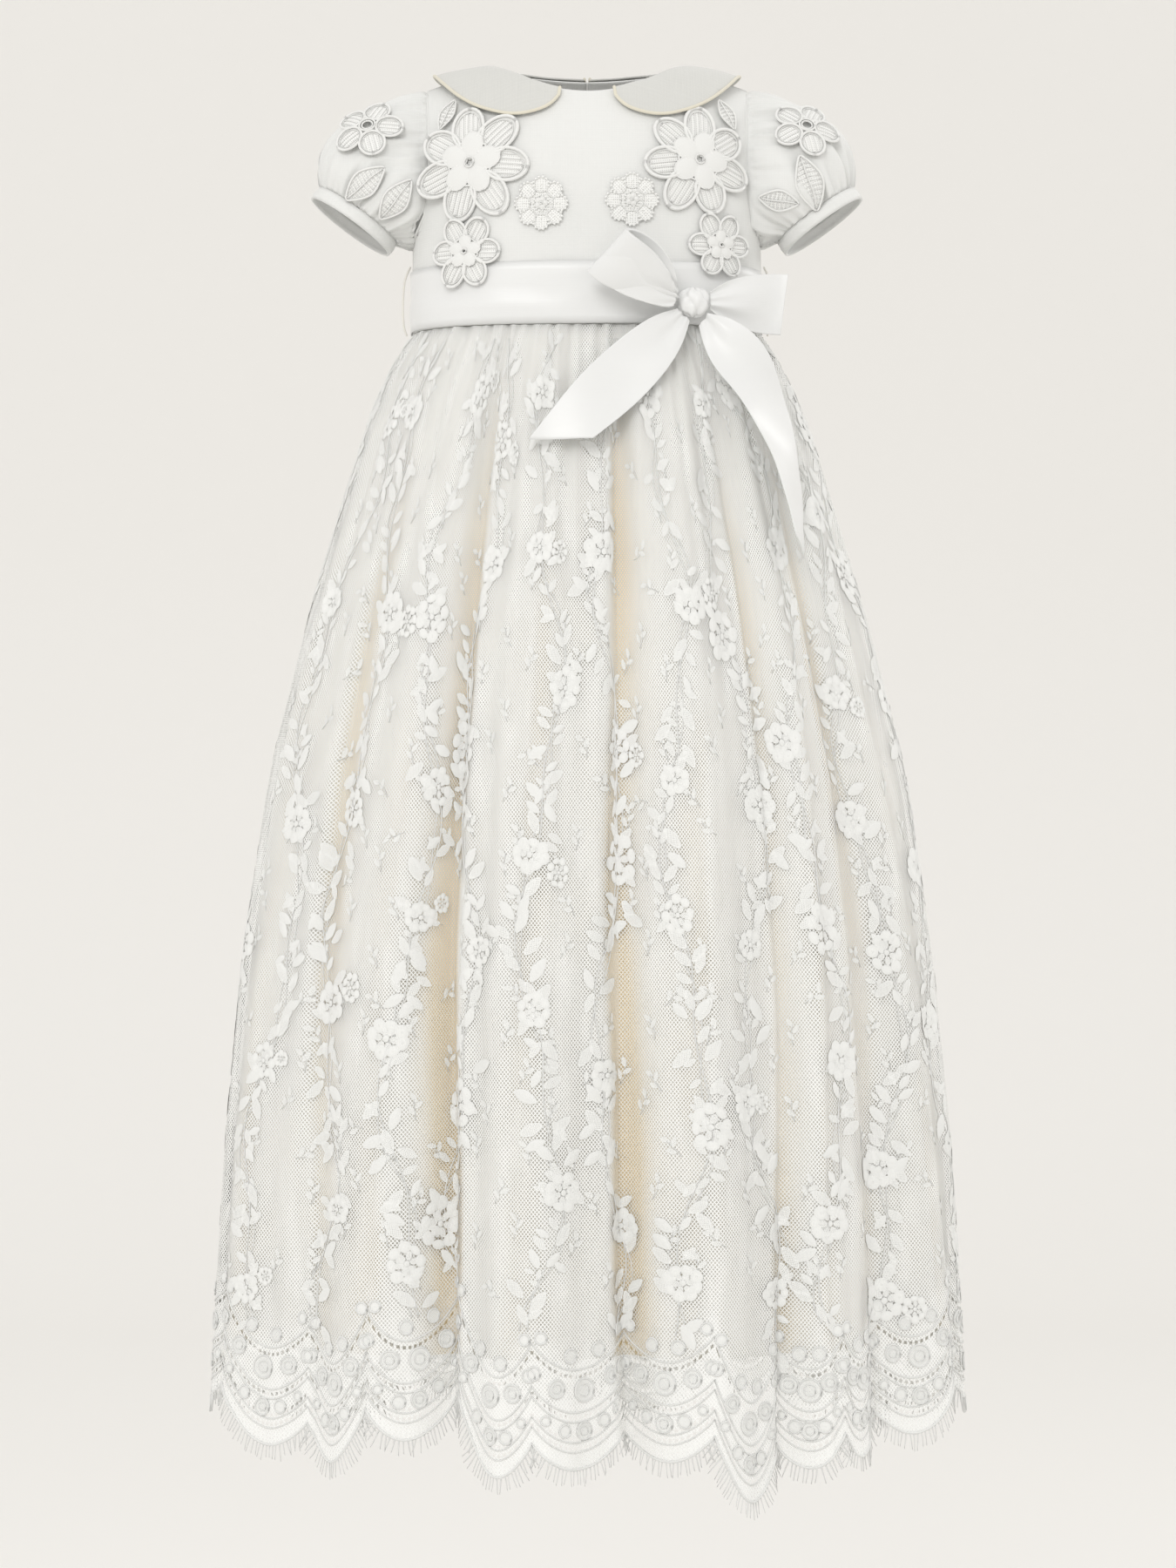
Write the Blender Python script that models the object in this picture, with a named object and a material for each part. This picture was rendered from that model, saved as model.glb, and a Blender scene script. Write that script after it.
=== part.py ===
"""Christening gown, filled out as when it is worn: a puff-sleeved bodice with a Peter Pan collar
and sewn-on flowers, a ribbon sash with a side bow, and a long skirt of gathered lace over a lining.

Sizes are in millimetres, and add_part() scales each finished mesh to metres. +Z is up and the front
faces -Y. The origin lies between the shoulders, where the wearer carries the gown.
"""

import math
from collections import namedtuple

import bmesh
import bpy
from mathutils import Vector

MM = 0.001
GOWN_NAME = "christening_gown"

# Cloth and seams
WALL = 1.2
RIBBON_WALL = 1.0
SEAM_GAP = 0.3
LAY_GAP = 0.45

# Bodice
BODICE_HALF_WIDTH = 96.0
PLAN_POWER = 2.5
WAIST_Z = -147.0
UNDERARM_Z = -98.0
SHOULDER_TIP_Z = -12.0
SHOULDER_HALF_WIDTH = 88.0
SHOULDER_CREST = 5.0
SHOULDER_DROP = 17.0
CHEST_TOP_Z = -75.0
NECK_HALF_WIDTH = 52.0
Face = namedtuple("Face", "side depth arch_power neck_depth")
FRONT = Face(side=-1, depth=62.0, arch_power=2.0, neck_depth=45.0)
BACK = Face(side=1, depth=55.0, arch_power=3.5, neck_depth=36.0)

# Armhole, an oval in the side view
ARMHOLE_MIDDLE_Z = (UNDERARM_Z + SHOULDER_TIP_Z) / 2
ARMHOLE_HALF_HEIGHT = (SHOULDER_TIP_Z - UNDERARM_Z) / 2
ARMHOLE_MIDDLE_X = 86.0
ARMHOLE_STEPS = 8

# Columns of a bodice panel, as shares of its half width: the shoulder part, then the neck part
SHOULDER_COLUMNS = (1.0, 0.99, 0.96, 0.9, 0.8, 0.69)
NECK_COLUMN_ANGLES = (90, 70, 50, 30, 15, 0)
SIDE_SEAM_LEVELS = (WAIST_Z + SEAM_GAP / 2, -131.0, -114.0)

# Sleeve and cuff of the wearer's left side, at +X; the other side mirrors it
CUFF_AXIS = Vector((0.58, -0.06, -0.81)).normalized()
CUFF_END = Vector((130.2, -8.0, -88.0))
CUFF_BAND = 7.5
CUFF_RADIUS = 25.0
CUFF_BAND_RADIUS = 26.2
CUFF_BAND_WALL = 1.6
SleeveRing = namedtuple("SleeveRing", "share head_gather cuff_gather")
SLEEVE_RINGS = (
    SleeveRing(0.0, 0.0, 0.0),
    SleeveRing(0.09, 1.0, 0.0),
    SleeveRing(0.25, 0.7, 0.0),
    SleeveRing(0.45, 0.0, 0.0),
    SleeveRing(0.66, 0.0, 0.4),
    SleeveRing(0.86, 0.0, 0.9),
    SleeveRing(1.0, 0.0, 0.6),
)

# Sash and belt loops
SASH_TOP_Z = -113.5
SASH_BOTTOM_Z = -146.5
SASH_GAP = 0.4
BELT_LOOP_RADIUS = 0.7
BELT_LOOP_REACH = 4.5

# Collar: where it starts on the neckline, in degrees from the centre front, where its outer edge
# lies in plan, and how far that edge stands above the shoulder
CollarStation = namedtuple("CollarStation", "neck_angle edge_x edge_y lift")
COLLAR = (
    CollarStation(16.0, 15.2, 46.8, 0.8),
    CollarStation(22.0, 20.3, 50.8, 0.9),
    CollarStation(35.0, 36.0, 51.0, 1.0),
    CollarStation(50.0, 48.0, 47.4, 1.2),
    CollarStation(63.0, 60.0, 41.0, 1.8),
    CollarStation(75.0, 71.5, 29.5, 3.5),
    CollarStation(83.0, 79.0, 15.0, 5.4),
    CollarStation(90.0, 82.5, 0.0, 6.3),
    CollarStation(97.0, 80.5, -14.0, 5.4),
    CollarStation(106.0, 73.5, -26.5, 3.5),
    CollarStation(119.0, 62.0, -37.0, 1.8),
    CollarStation(136.0, 46.0, -45.0, 1.2),
    CollarStation(157.0, 25.0, -50.0, 1.0),
    CollarStation(178.3, 1.6, -51.3, 0.9),
)
COLLAR_WALL = 1.3
COLLAR_SHARES = (0.0, 0.12, 0.4, 0.7, 1.0)
COLLAR_ROLL_FRONT = 1.6
COLLAR_ROLL_BACK = 3.4

# Blank label inside the back of the neck
LABEL_LEFT_X = 1.5
LABEL_WIDTH = 27.0
LABEL_TOP_Z = -4.5
LABEL_HEIGHT = 13.0
LABEL_WALL = 0.8
LABEL_GAP = 1.2

# Skirt: half width by the drop below the waist seam, read from the outline of the front view
SkirtLevel = namedtuple("SkirtLevel", "drop half_width gather")
SKIRT_LEVELS = (
    SkirtLevel(0.0, 94.8, 0.7),
    SkirtLevel(10.0, 102.0, 0.9),
    SkirtLevel(40.0, 117.5, 0.6),
    SkirtLevel(85.0, 131.5, 0.0),
    SkirtLevel(150.0, 151.0, 0.0),
    SkirtLevel(240.0, 173.5, 0.0),
    SkirtLevel(340.0, 188.0, 0.0),
    SkirtLevel(440.0, 197.5, 0.0),
    SkirtLevel(540.0, 203.5, 0.0),
)
HEM_HALF_WIDTH = 205.0
HEM_DROP = 584.0
LINING_DROPS = (0.0, 24.0, 85.0, 240.0, 400.0, 545.0)
LINING_RIDGE_SHARE = 0.7
LINING_GAP_TOP = 1.3
LINING_GAP_HEM = 3.0
FRONT_DEPTH_GROWTH = 0.71
BACK_DEPTH_GROWTH = 0.68
HEM_PLAN_POWER = 2.1
FOLD_GROWTH_POWER = 0.7

# Folds, each from the valley at its own angle to the valley of the next row. Angles run from the
# centre front towards +X, and heights are out of the plain skirt surface at the hem.
Fold = namedtuple("Fold", "valley_angle valley_height ridge_height")
FOLDS = (
    Fold(-90.0, 0.0, 7.0),
    Fold(-46.0, -5.0, 8.0),
    Fold(-19.0, -12.0, 12.0),
    Fold(5.0, -13.0, 11.0),
    Fold(29.0, -6.0, 7.0),
    Fold(49.0, -6.0, 7.0),
    Fold(90.0, 0.0, 8.0),
    Fold(119.0, -8.0, 10.0),
    Fold(147.0, -10.0, 9.0),
    Fold(178.0, -12.0, 12.0),
    Fold(210.0, -8.0, 9.0),
    Fold(241.0, -9.0, 8.0),
    Fold(270.0, 0.0, 7.0),
)
FRONT_FOLDS = range(0, 6)
BACK_FOLDS = range(6, 12)
STEPS_PER_FOLD = 8
STEPS_PER_SCALLOP = 4

# Scalloped hem of the lace, from the side seam at -X round the front and back again: how far
# below the waist each scallop starts and how far down its tip reaches
Scallop = namedtuple("Scallop", "start_drop tip_drop")
SCALLOPS = (
    Scallop(565.0, 579.0),
    Scallop(568.0, 597.0),
    Scallop(584.0, 602.0),
    Scallop(572.0, 588.0),
    Scallop(564.0, 604.0),
    Scallop(586.0, 601.0),
    Scallop(585.0, 598.0),
    Scallop(583.0, 619.0),
    Scallop(592.0, 604.0),
    Scallop(586.0, 600.0),
    Scallop(578.0, 592.0),
    Scallop(566.0, 580.0),
    Scallop(566.0, 582.0),
    Scallop(569.0, 596.0),
    Scallop(580.0, 606.0),
    Scallop(586.0, 603.0),
    Scallop(574.0, 596.0),
    Scallop(578.0, 611.0),
    Scallop(588.0, 606.0),
    Scallop(576.0, 598.0),
    Scallop(580.0, 609.0),
    Scallop(584.0, 600.0),
    Scallop(572.0, 592.0),
    Scallop(566.0, 581.0),
)

# Thread fringe under the scallops
FRINGE_GAP = 0.9
FRINGE_LEAN = 0.3
FRINGE_STRIP = 1.6
FRINGE_LENGTH = 8.5
STRANDS_PER_STEP = 2
STRAND_SHARE = 0.34

# Bow: each row is a line across the ribbon, by its middle, its direction and its width
RibbonLine = namedtuple("RibbonLine", "x y z across_x across_y across_z width")
KNOT_CENTRE = Vector((57.0, -64.0, -136.0))
KNOT_RADII = Vector((8.5, 7.0, 9.5))
BOW_LOOP_RIGHT_HAND = (
    RibbonLine(66.0, -64.0, -135.0, 0.0, 0.0, 1.0, 9),
    RibbonLine(75.0, -62.5, -135.0, 0.05, 0.0, 1.0, 23),
    RibbonLine(89.0, -57.0, -135.3, 0.1, 0.0, 1.0, 31),
    RibbonLine(101.0, -51.5, -135.5, 0.13, 0.0, 1.0, 33),
    RibbonLine(106.0, -53.0, -135.7, 0.13, 0.0, 1.0, 33),
    RibbonLine(102.5, -58.5, -135.8, 0.12, 0.0, 1.0, 32),
    RibbonLine(90.0, -67.0, -136.2, 0.1, 0.0, 1.0, 31),
    RibbonLine(77.0, -71.0, -136.6, 0.05, 0.0, 1.0, 24),
    RibbonLine(66.4, -68.5, -137.0, 0.0, 0.0, 1.0, 9),
)
BOW_LOOP_LEFT_HAND = (
    RibbonLine(47.9, -65.0, -134.5, 0.15, -0.1, 1.0, 9),
    RibbonLine(42.0, -70.0, -128.0, 0.45, -0.3, 0.85, 22),
    RibbonLine(31.0, -76.0, -118.5, 0.62, -0.4, 0.68, 31),
    RibbonLine(17.0, -80.5, -110.5, 0.64, -0.45, 0.63, 34),
    RibbonLine(9.0, -85.0, -109.5, 0.65, -0.48, 0.6, 34),
    RibbonLine(12.0, -90.5, -114.0, 0.64, -0.48, 0.62, 34),
    RibbonLine(25.0, -88.5, -122.5, 0.6, -0.45, 0.66, 32),
    RibbonLine(40.0, -79.5, -130.5, 0.4, -0.3, 0.87, 23),
    RibbonLine(47.5, -71.0, -136.0, 0.15, -0.1, 1.0, 9),
)
BOW_TAIL_LEFT_HAND = (
    RibbonLine(51.5, -66.4, -143.1, -0.7, 0.0, 0.7, 9),
    RibbonLine(42.0, -72.0, -153.0, -0.72, 0.0, 0.7, 24),
    RibbonLine(26.0, -78.0, -169.5, -0.75, 0.0, 0.66, 32),
    RibbonLine(7.0, -84.5, -188.0, -0.86, 0.0, 0.5, 33),
    RibbonLine(-13.8, -92.0, -211.6, -1.0, 0.0, 0.0, 34),
)
BOW_TAIL_RIGHT_HAND = (
    RibbonLine(62.0, -69.5, -145.6, 0.66, 0.0, 0.75, 8),
    RibbonLine(69.5, -75.5, -152.5, 0.7, 0.0, 0.7, 22),
    RibbonLine(82.5, -77.5, -166.0, 0.9, 0.15, 0.4, 33),
    RibbonLine(96.5, -77.0, -193.0, 0.62, 0.76, 0.15, 33),
    RibbonLine(105.5, -76.0, -217.5, 0.45, 0.88, 0.0, 33),
    RibbonLine(110.5, -79.0, -240.0, 0.35, 0.92, 0.0, 33),
    RibbonLine(113.5, -86.0, -268.0, 0.15, 0.9, -0.35, 30),
)

# Sewn-on flowers. On the bodice x and z are front-view places; on the sleeve the place is an
# angle from the top of the sleeve towards the front, and a share of the way to the cuff.
BodiceFlower = namedtuple("BodiceFlower", "name x z radius petals steps turn notch height")
BODICE_FLOWERS = (
    BodiceFlower("flower_large_left", -61.5, -60.0, 28.5, 7, 5, -31.0, 0.6, 2.6),
    BodiceFlower("flower_large_right", 59.0, -58.5, 26.5, 7, 5, -147.0, 0.6, 2.6),
    BodiceFlower("flower_small_left", -64.5, -107.5, 17.0, 6, 5, 90.0, 0.62, 2.2),
    BodiceFlower("flower_small_right", 70.5, -103.5, 16.0, 6, 5, 90.0, 0.62, 2.2),
    BodiceFlower("flower_beaded_left", -24.5, -82.5, 15.0, 8, 3, 22.5, 0.72, 1.6),
    BodiceFlower("flower_beaded_right", 24.0, -80.5, 15.0, 8, 3, 22.5, 0.72, 1.6),
)
SleeveSprig = namedtuple("SleeveSprig", "name side angle share length width turn petals height")
SLEEVE_SPRIGS = (
    SleeveSprig("sleeve_flower_left", -1, 52.0, 0.42, 17.0, 17.0, 20.0, 5, 2.4),
    SleeveSprig("sleeve_flower_right", 1, 52.0, 0.42, 17.0, 17.0, 60.0, 5, 2.4),
    SleeveSprig("sleeve_leaf_upper_left", -1, 84.0, 0.74, 13.0, 6.5, 70.0, 0, 1.8),
    SleeveSprig("sleeve_leaf_upper_right", 1, 84.0, 0.74, 13.0, 6.5, 110.0, 0, 1.8),
    SleeveSprig("sleeve_leaf_lower_left", -1, 112.0, 0.5, 11.0, 5.5, 115.0, 0, 1.8),
    SleeveSprig("sleeve_leaf_lower_right", 1, 112.0, 0.5, 11.0, 5.5, 65.0, 0, 1.8),
)
ShoulderLeaf = namedtuple("ShoulderLeaf", "name x z length width turn height")
SHOULDER_LEAVES = (
    ShoulderLeaf("shoulder_leaf_left", -75.0, -31.5, 9.0, 4.5, 62.0, 1.6),
    ShoulderLeaf("shoulder_leaf_right", 75.0, -31.5, 9.0, 4.5, 118.0, 1.6),
)
SLEEVE_SPRIG_GAP = 1.5
SEAM_BRIDGE_X = 83.5
SEAM_BRIDGE_SLOPE = 0.4

# Colours as linear RGB, with roughness
IVORY_CLOTH = ("ivory_cloth", (0.80, 0.75, 0.68), 0.75)
COLLAR_LINEN = ("collar_linen", (0.66, 0.58, 0.50), 0.85)
SATIN = ("satin_ribbon", (0.86, 0.83, 0.79), 0.35)
LINING_CLOTH = ("lining_cloth", (0.80, 0.70, 0.56), 0.6)
LACE = ("lace", (0.83, 0.79, 0.72), 0.8)
GUIPURE = ("guipure_lace", (0.84, 0.80, 0.74), 0.8)
LABEL_TAPE = ("label_tape", (0.88, 0.88, 0.88), 0.5)

for old in list(bpy.data.objects):
    bpy.data.objects.remove(old, do_unlink=True)
gown = bpy.data.collections.new(GOWN_NAME)
bpy.context.scene.collection.children.link(gown)


# Making parts


def material(finish):
    name, colour, roughness = finish
    found = bpy.data.materials.get(name)
    if found:
        return found
    made = bpy.data.materials.new(name)
    made.use_nodes = True
    shader = made.node_tree.nodes["Principled BSDF"]
    shader.inputs["Base Color"].default_value = (*colour, 1.0)
    shader.inputs["Roughness"].default_value = roughness
    shader.inputs["Metallic"].default_value = 0.0
    return made


def add_part(name, bm, finish):
    """Turn a finished bmesh in millimetres into an object of the gown."""
    bmesh.ops.recalc_face_normals(bm, faces=bm.faces[:])
    bmesh.ops.scale(bm, vec=(MM, MM, MM), verts=bm.verts[:])
    mesh = bpy.data.meshes.new(name)
    bm.to_mesh(mesh)
    bm.free()
    mesh.materials.append(material(finish))
    mesh.shade_smooth()
    mesh.set_sharp_from_angle(angle=math.radians(40))
    part = bpy.data.objects.new(name, mesh)
    gown.objects.link(part)
    return part


def loft(rows, closed=False):
    """Skin unlike sections with triangles; a section may have half as many steps as the last."""
    bm = bmesh.new()
    lines = [[bm.verts.new(point) for point in row] for row in rows]
    for upper, lower in zip(lines, lines[1:]):
        steps = len(lower) if closed else len(lower) - 1
        halved = len(upper) > len(lower)
        for i in range(steps):
            near = lower[i]
            far = lower[(i + 1) % len(lower)]
            if halved:
                start = upper[2 * i]
                middle = upper[2 * i + 1]
                end = upper[(2 * i + 2) % len(upper)]
                bm.faces.new((start, near, middle))
                bm.faces.new((middle, near, far))
                bm.faces.new((middle, far, end))
            else:
                start = upper[i]
                end = upper[(i + 1) % len(upper)]
                bm.faces.new((start, near, far))
                bm.faces.new((start, far, end))
    bm.verts.index_update()
    return bm


def face_away(bm, centre_of):
    """Turn an open surface so that its faces look away from the line inside it."""
    bm.normal_update()
    outward = sum(vert.normal.dot(vert.co - centre_of(vert.co)) for vert in bm.verts)
    if outward < 0:
        bmesh.ops.reverse_faces(bm, faces=bm.faces[:])
        bm.normal_update()


def on_vertical_axis(point):
    return Vector((0, 0, point.z))


def thicken(bm, wall, steps=None, settle=None):
    """Close an open surface into a wall that lies inside it.

    steps gives each point's own way to the inner face. settle(point, normal) changes a normal,
    so that a cut edge stays in the plane of its seam."""
    bm.verts.index_update()
    twin = bm.verts.layers.int.new("twin")
    moves = []
    for vert in bm.verts:
        vert[twin] = vert.index
        if steps:
            moves.append(steps[vert.index] * -wall)
            continue
        normal = vert.normal.copy()
        if settle:
            normal = settle(vert.co, normal).normalized()
        moves.append(normal * -wall)
    bm.verts.ensure_lookup_table()
    everything = bm.verts[:] + bm.edges[:] + bm.faces[:]
    made = bmesh.ops.extrude_face_region(bm, geom=everything, use_keep_orig=True)
    for item in made["geom"]:
        if isinstance(item, bmesh.types.BMVert):
            item.co += moves[item[twin]]


# Form of the body under the gown


def section_depth(x, half_width, depth, power):
    share = min(abs(x) / half_width, 1.0)
    return depth * (1 - share**power) ** (1 / power)


def shoulder_height(x):
    return SHOULDER_CREST - SHOULDER_DROP * (x / SHOULDER_HALF_WIDTH) ** 2


def body_y(x, z, face):
    """Depth of the bodice over a front-view place: upright below, arched over to the shoulder."""
    depth = section_depth(x, BODICE_HALF_WIDTH, face.depth, PLAN_POWER)
    rise = (z - CHEST_TOP_Z) / (shoulder_height(x) - CHEST_TOP_Z)
    rise = min(max(rise, 0.0), 1.0)
    return face.side * depth * (1 - rise**face.arch_power) ** (1 / face.arch_power)


def body_z(x, y, face):
    """Height of the arched upper bodice over a place in plan."""
    depth = section_depth(x, BODICE_HALF_WIDTH, face.depth, PLAN_POWER)
    share = min(abs(y) / depth, 0.999)
    rise = (1 - share**face.arch_power) ** (1 / face.arch_power)
    return CHEST_TOP_Z + rise * (shoulder_height(x) - CHEST_TOP_Z)


def on_body_front_view(x, z, face, lift):
    """A point over the body at a front-view place, moved out by lift."""
    reach = 1.0
    across = Vector((2 * reach, body_y(x + reach, z, face) - body_y(x - reach, z, face), 0))
    upward = Vector((0, body_y(x, z + reach, face) - body_y(x, z - reach, face), 2 * reach))
    normal = across.cross(upward).normalized()
    if normal.y * face.side < 0:
        normal.negate()
    return Vector((x, body_y(x, z, face), z)) + normal * lift


def on_body_plan(x, y, lift):
    """A point over the shoulders at a place in plan, moved out by lift."""
    face = FRONT if y < 0 else BACK
    reach = 0.5
    slope_x = (body_z(x + reach, y, face) - body_z(x - reach, y, face)) / (2 * reach)
    slope_y = (body_z(x, y + reach, face) - body_z(x, y - reach, face)) / (2 * reach)
    normal = Vector((-slope_x, -slope_y, 1)).normalized()
    return Vector((x, y, body_z(x, y, face))) + normal * lift


# Bodice


def armhole_level(step):
    return ARMHOLE_MIDDLE_Z + ARMHOLE_HALF_HEIGHT * math.cos(math.pi * step / ARMHOLE_STEPS)


def edge_x(level):
    """How wide the panel's side edge lies: the side seam, then the armhole."""
    if level <= UNDERARM_Z:
        return BODICE_HALF_WIDTH
    share = (level - ARMHOLE_MIDDLE_Z) / ARMHOLE_HALF_HEIGHT
    if share > 0:
        return ARMHOLE_MIDDLE_X + (SHOULDER_HALF_WIDTH - ARMHOLE_MIDDLE_X) * share**2
    return ARMHOLE_MIDDLE_X + (BODICE_HALF_WIDTH - ARMHOLE_MIDDLE_X) * share**4


def column_top(column, face):
    """Height where a column of the panel ends: on the shoulder seam or on the neckline."""
    x = abs(column) * SHOULDER_HALF_WIDTH
    if x >= NECK_HALF_WIDTH - 0.001:
        return shoulder_height(x)
    neck_y = face.neck_depth * math.sqrt(1 - (x / NECK_HALF_WIDTH) ** 2)
    return body_z(x, neck_y, face)


def panel_point(column, level, face):
    share = (level - WAIST_Z) / (SHOULDER_TIP_Z - WAIST_Z)
    x = column * edge_x(level)
    z = WAIST_Z + share * (column_top(column, face) - WAIST_Z)
    y = body_y(x, z, face)
    if abs(y) < SEAM_GAP / 2:
        y = face.side * SEAM_GAP / 2
    return Vector((x, y, z))


def half_columns():
    neck = [
        NECK_HALF_WIDTH / SHOULDER_HALF_WIDTH * math.sin(math.radians(angle))
        for angle in NECK_COLUMN_ANGLES
    ]
    return list(SHOULDER_COLUMNS) + neck


def panel_levels():
    armhole = [armhole_level(step) for step in range(ARMHOLE_STEPS, -1, -1)]
    return list(SIDE_SEAM_LEVELS) + armhole


def settle_bodice(point, normal):
    """Side, shoulder, centre back and waist edges stay in the planes of their seams."""
    if abs(point.y) < SEAM_GAP:
        normal.y = 0
    if abs(point.x) < SEAM_GAP and point.y > 0:
        normal.x = 0
    if point.z < WAIST_Z + SEAM_GAP:
        normal.z = 0
    return normal


def add_bodice_panel(name, columns, face):
    rows = []
    for level in panel_levels():
        row = [panel_point(column, level, face) for column in columns]
        if face is BACK:
            for point in row:
                if abs(point.x) < SEAM_GAP / 2:
                    point.x = math.copysign(SEAM_GAP / 2, sum(columns))
        rows.append(row)
    bm = loft(rows)
    face_away(bm, lambda point: Vector((0, 0, min(point.z, CHEST_TOP_Z))))
    thicken(bm, WALL, settle=settle_bodice)
    return add_part(name, bm, IVORY_CLOTH)


def add_bodice():
    right = half_columns()
    left = [-column for column in right]
    add_bodice_panel("bodice_front", left[:-1] + right[::-1], FRONT)
    add_bodice_panel("bodice_back_left", left, BACK)
    add_bodice_panel("bodice_back_right", right, BACK)


# Sleeves and cuffs


def mirrored(point, side):
    return Vector((point.x * side, point.y, point.z))


def armhole_ring():
    """The armhole edge from the shoulder tip round the front, with a point halfway each step."""
    front = [panel_point(1.0, armhole_level(step), FRONT) for step in range(ARMHOLE_STEPS + 1)]
    back = [panel_point(1.0, armhole_level(step), BACK) for step in range(ARMHOLE_STEPS + 1)]
    front[0].y = 0
    front[-1].y = 0
    corners = front + back[-2:0:-1]
    ring = []
    for here, following in zip(corners, corners[1:] + corners[:1]):
        ring.append(here + Vector((SEAM_GAP, 0, 0)))
        ring.append((here + following) / 2 + Vector((SEAM_GAP, 0, 0)))
    return ring


ARMHOLE = armhole_ring()
SLEEVE_STEPS = len(ARMHOLE)
CUFF_FRONT = (Vector((0, -1, 0)) - CUFF_AXIS * CUFF_AXIS.dot(Vector((0, -1, 0)))).normalized()
CUFF_TOP = CUFF_AXIS.cross(CUFF_FRONT).normalized()
if CUFF_TOP.z < 0:
    CUFF_TOP.negate()
CUFF_SEAM = CUFF_END - CUFF_AXIS * (CUFF_BAND + SEAM_GAP)


def cuff_spoke(angle):
    return CUFF_TOP * math.cos(angle) + CUFF_FRONT * math.sin(angle)


def sleeve_place(angle, share):
    """A point of the smooth sleeve: a curve from the armhole to the cuff seam, puffed out."""
    turns = angle / (2 * math.pi) * SLEEVE_STEPS
    before = math.floor(turns)
    start = ARMHOLE[before % SLEEVE_STEPS].lerp(
        ARMHOLE[(before + 1) % SLEEVE_STEPS], turns - before
    )
    top = (1 + math.cos(angle)) / 2
    spoke = Vector((0, -math.sin(angle), math.cos(angle)))
    head_reach = 4 + 38 * top**1.2
    head_puff = 8 * abs(math.sin(angle)) - 8 * max(math.cos(angle), 0) ** 2
    cuff_reach = 3 + 22 * top
    cuff_puff = 1.5 + 20 * top
    end = CUFF_SEAM + cuff_spoke(angle) * CUFF_RADIUS
    first = start + Vector((head_reach, 0, 0)) + spoke * head_puff
    second = end - CUFF_AXIS * cuff_reach + cuff_spoke(angle) * cuff_puff
    rest = 1 - share
    point = start * rest**3 + first * (3 * rest**2 * share)
    return point + second * (3 * rest * share**2) + end * share**3


def sleeve_normal(angle, share):
    """Outward direction of the smooth sleeve."""
    turn = 0.05
    slide = 0.03
    low = max(share - slide, 0)
    high = min(share + slide, 1)
    around = sleeve_place(angle + turn, share) - sleeve_place(angle - turn, share)
    along = sleeve_place(angle, high) - sleeve_place(angle, low)
    normal = around.cross(along).normalized()
    spoke = cuff_spoke(angle)
    return normal if normal.dot(spoke) > 0 else -normal


def sleeve_rows(side):
    rows = []
    for ring in SLEEVE_RINGS:
        row = []
        for step in range(SLEEVE_STEPS):
            angle = 2 * math.pi * step / SLEEVE_STEPS
            top = (1 + math.cos(angle)) / 2
            gather = ring.head_gather * top**1.5 + ring.cuff_gather
            if step % 2:
                gather = -gather
            point = sleeve_place(angle, ring.share)
            if ring.share == 1:
                point = point + cuff_spoke(angle) * gather
            elif gather:
                point = point + sleeve_normal(angle, ring.share) * gather
            row.append(mirrored(point, side))
        rows.append(row)
    return rows


def add_sleeve(name, side):
    rows = sleeve_rows(side)
    ends = (set(range(SLEEVE_STEPS)), set(range(SLEEVE_STEPS * (len(rows) - 1), SLEEVE_STEPS * len(rows))))
    bm = loft(rows, closed=True)
    middle = mirrored((ARMHOLE[0] + ARMHOLE[SLEEVE_STEPS // 2] + CUFF_SEAM * 2) / 4, side)
    face_away(bm, lambda point: middle)
    axis = mirrored(CUFF_AXIS, side)
    steps = []
    for vert in bm.verts:
        normal = vert.normal.copy()
        if vert.index in ends[0]:
            normal.x = 0
        if vert.index in ends[1]:
            normal -= axis * normal.dot(axis)
        steps.append(normal.normalized())
    thicken(bm, WALL, steps=steps)
    return add_part(name, bm, IVORY_CLOTH)


def add_cuff(name, side):
    rows = []
    for along in (CUFF_BAND, CUFF_BAND / 2, 0):
        centre = CUFF_END - CUFF_AXIS * along
        row = []
        for step in range(SLEEVE_STEPS):
            spoke = cuff_spoke(2 * math.pi * step / SLEEVE_STEPS)
            row.append(mirrored(centre + spoke * CUFF_BAND_RADIUS, side))
        rows.append(row)
    bm = loft(rows, closed=True)
    middle = mirrored(CUFF_END - CUFF_AXIS * CUFF_BAND / 2, side)
    face_away(bm, lambda point: middle)
    axis = mirrored(CUFF_AXIS, side)
    thicken(bm, CUFF_BAND_WALL, settle=lambda point, normal: normal - axis * normal.dot(axis))
    return add_part(name, bm, IVORY_CLOTH)


# Collar


def add_collar(name, side):
    rows = []
    for share in COLLAR_SHARES:
        row = []
        for station in COLLAR:
            angle = math.radians(station.neck_angle)
            neck_depth = FRONT.neck_depth if station.neck_angle < 90 else BACK.neck_depth
            start = Vector((NECK_HALF_WIDTH * math.sin(angle), -neck_depth * math.cos(angle)))
            place = start.lerp(Vector((station.edge_x, -station.edge_y)), share)
            back_share = (1 - math.cos(angle)) / 2
            roll = COLLAR_ROLL_FRONT + (COLLAR_ROLL_BACK - COLLAR_ROLL_FRONT) * back_share
            if share == 0:
                lift = LAY_GAP + 0.2
            else:
                out = (share - COLLAR_SHARES[1]) / (1 - COLLAR_SHARES[1])
                lift = roll + (station.lift - roll) * out
            point = on_body_plan(place.x, place.y, lift + COLLAR_WALL)
            row.append(mirrored(point, side))
        rows.append(row)
    bm = loft(rows)
    face_away(bm, lambda point: Vector((0, 0, CHEST_TOP_Z)))
    thicken(bm, COLLAR_WALL)
    return add_part(name, bm, COLLAR_LINEN)


# Sash, belt loops and label


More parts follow.
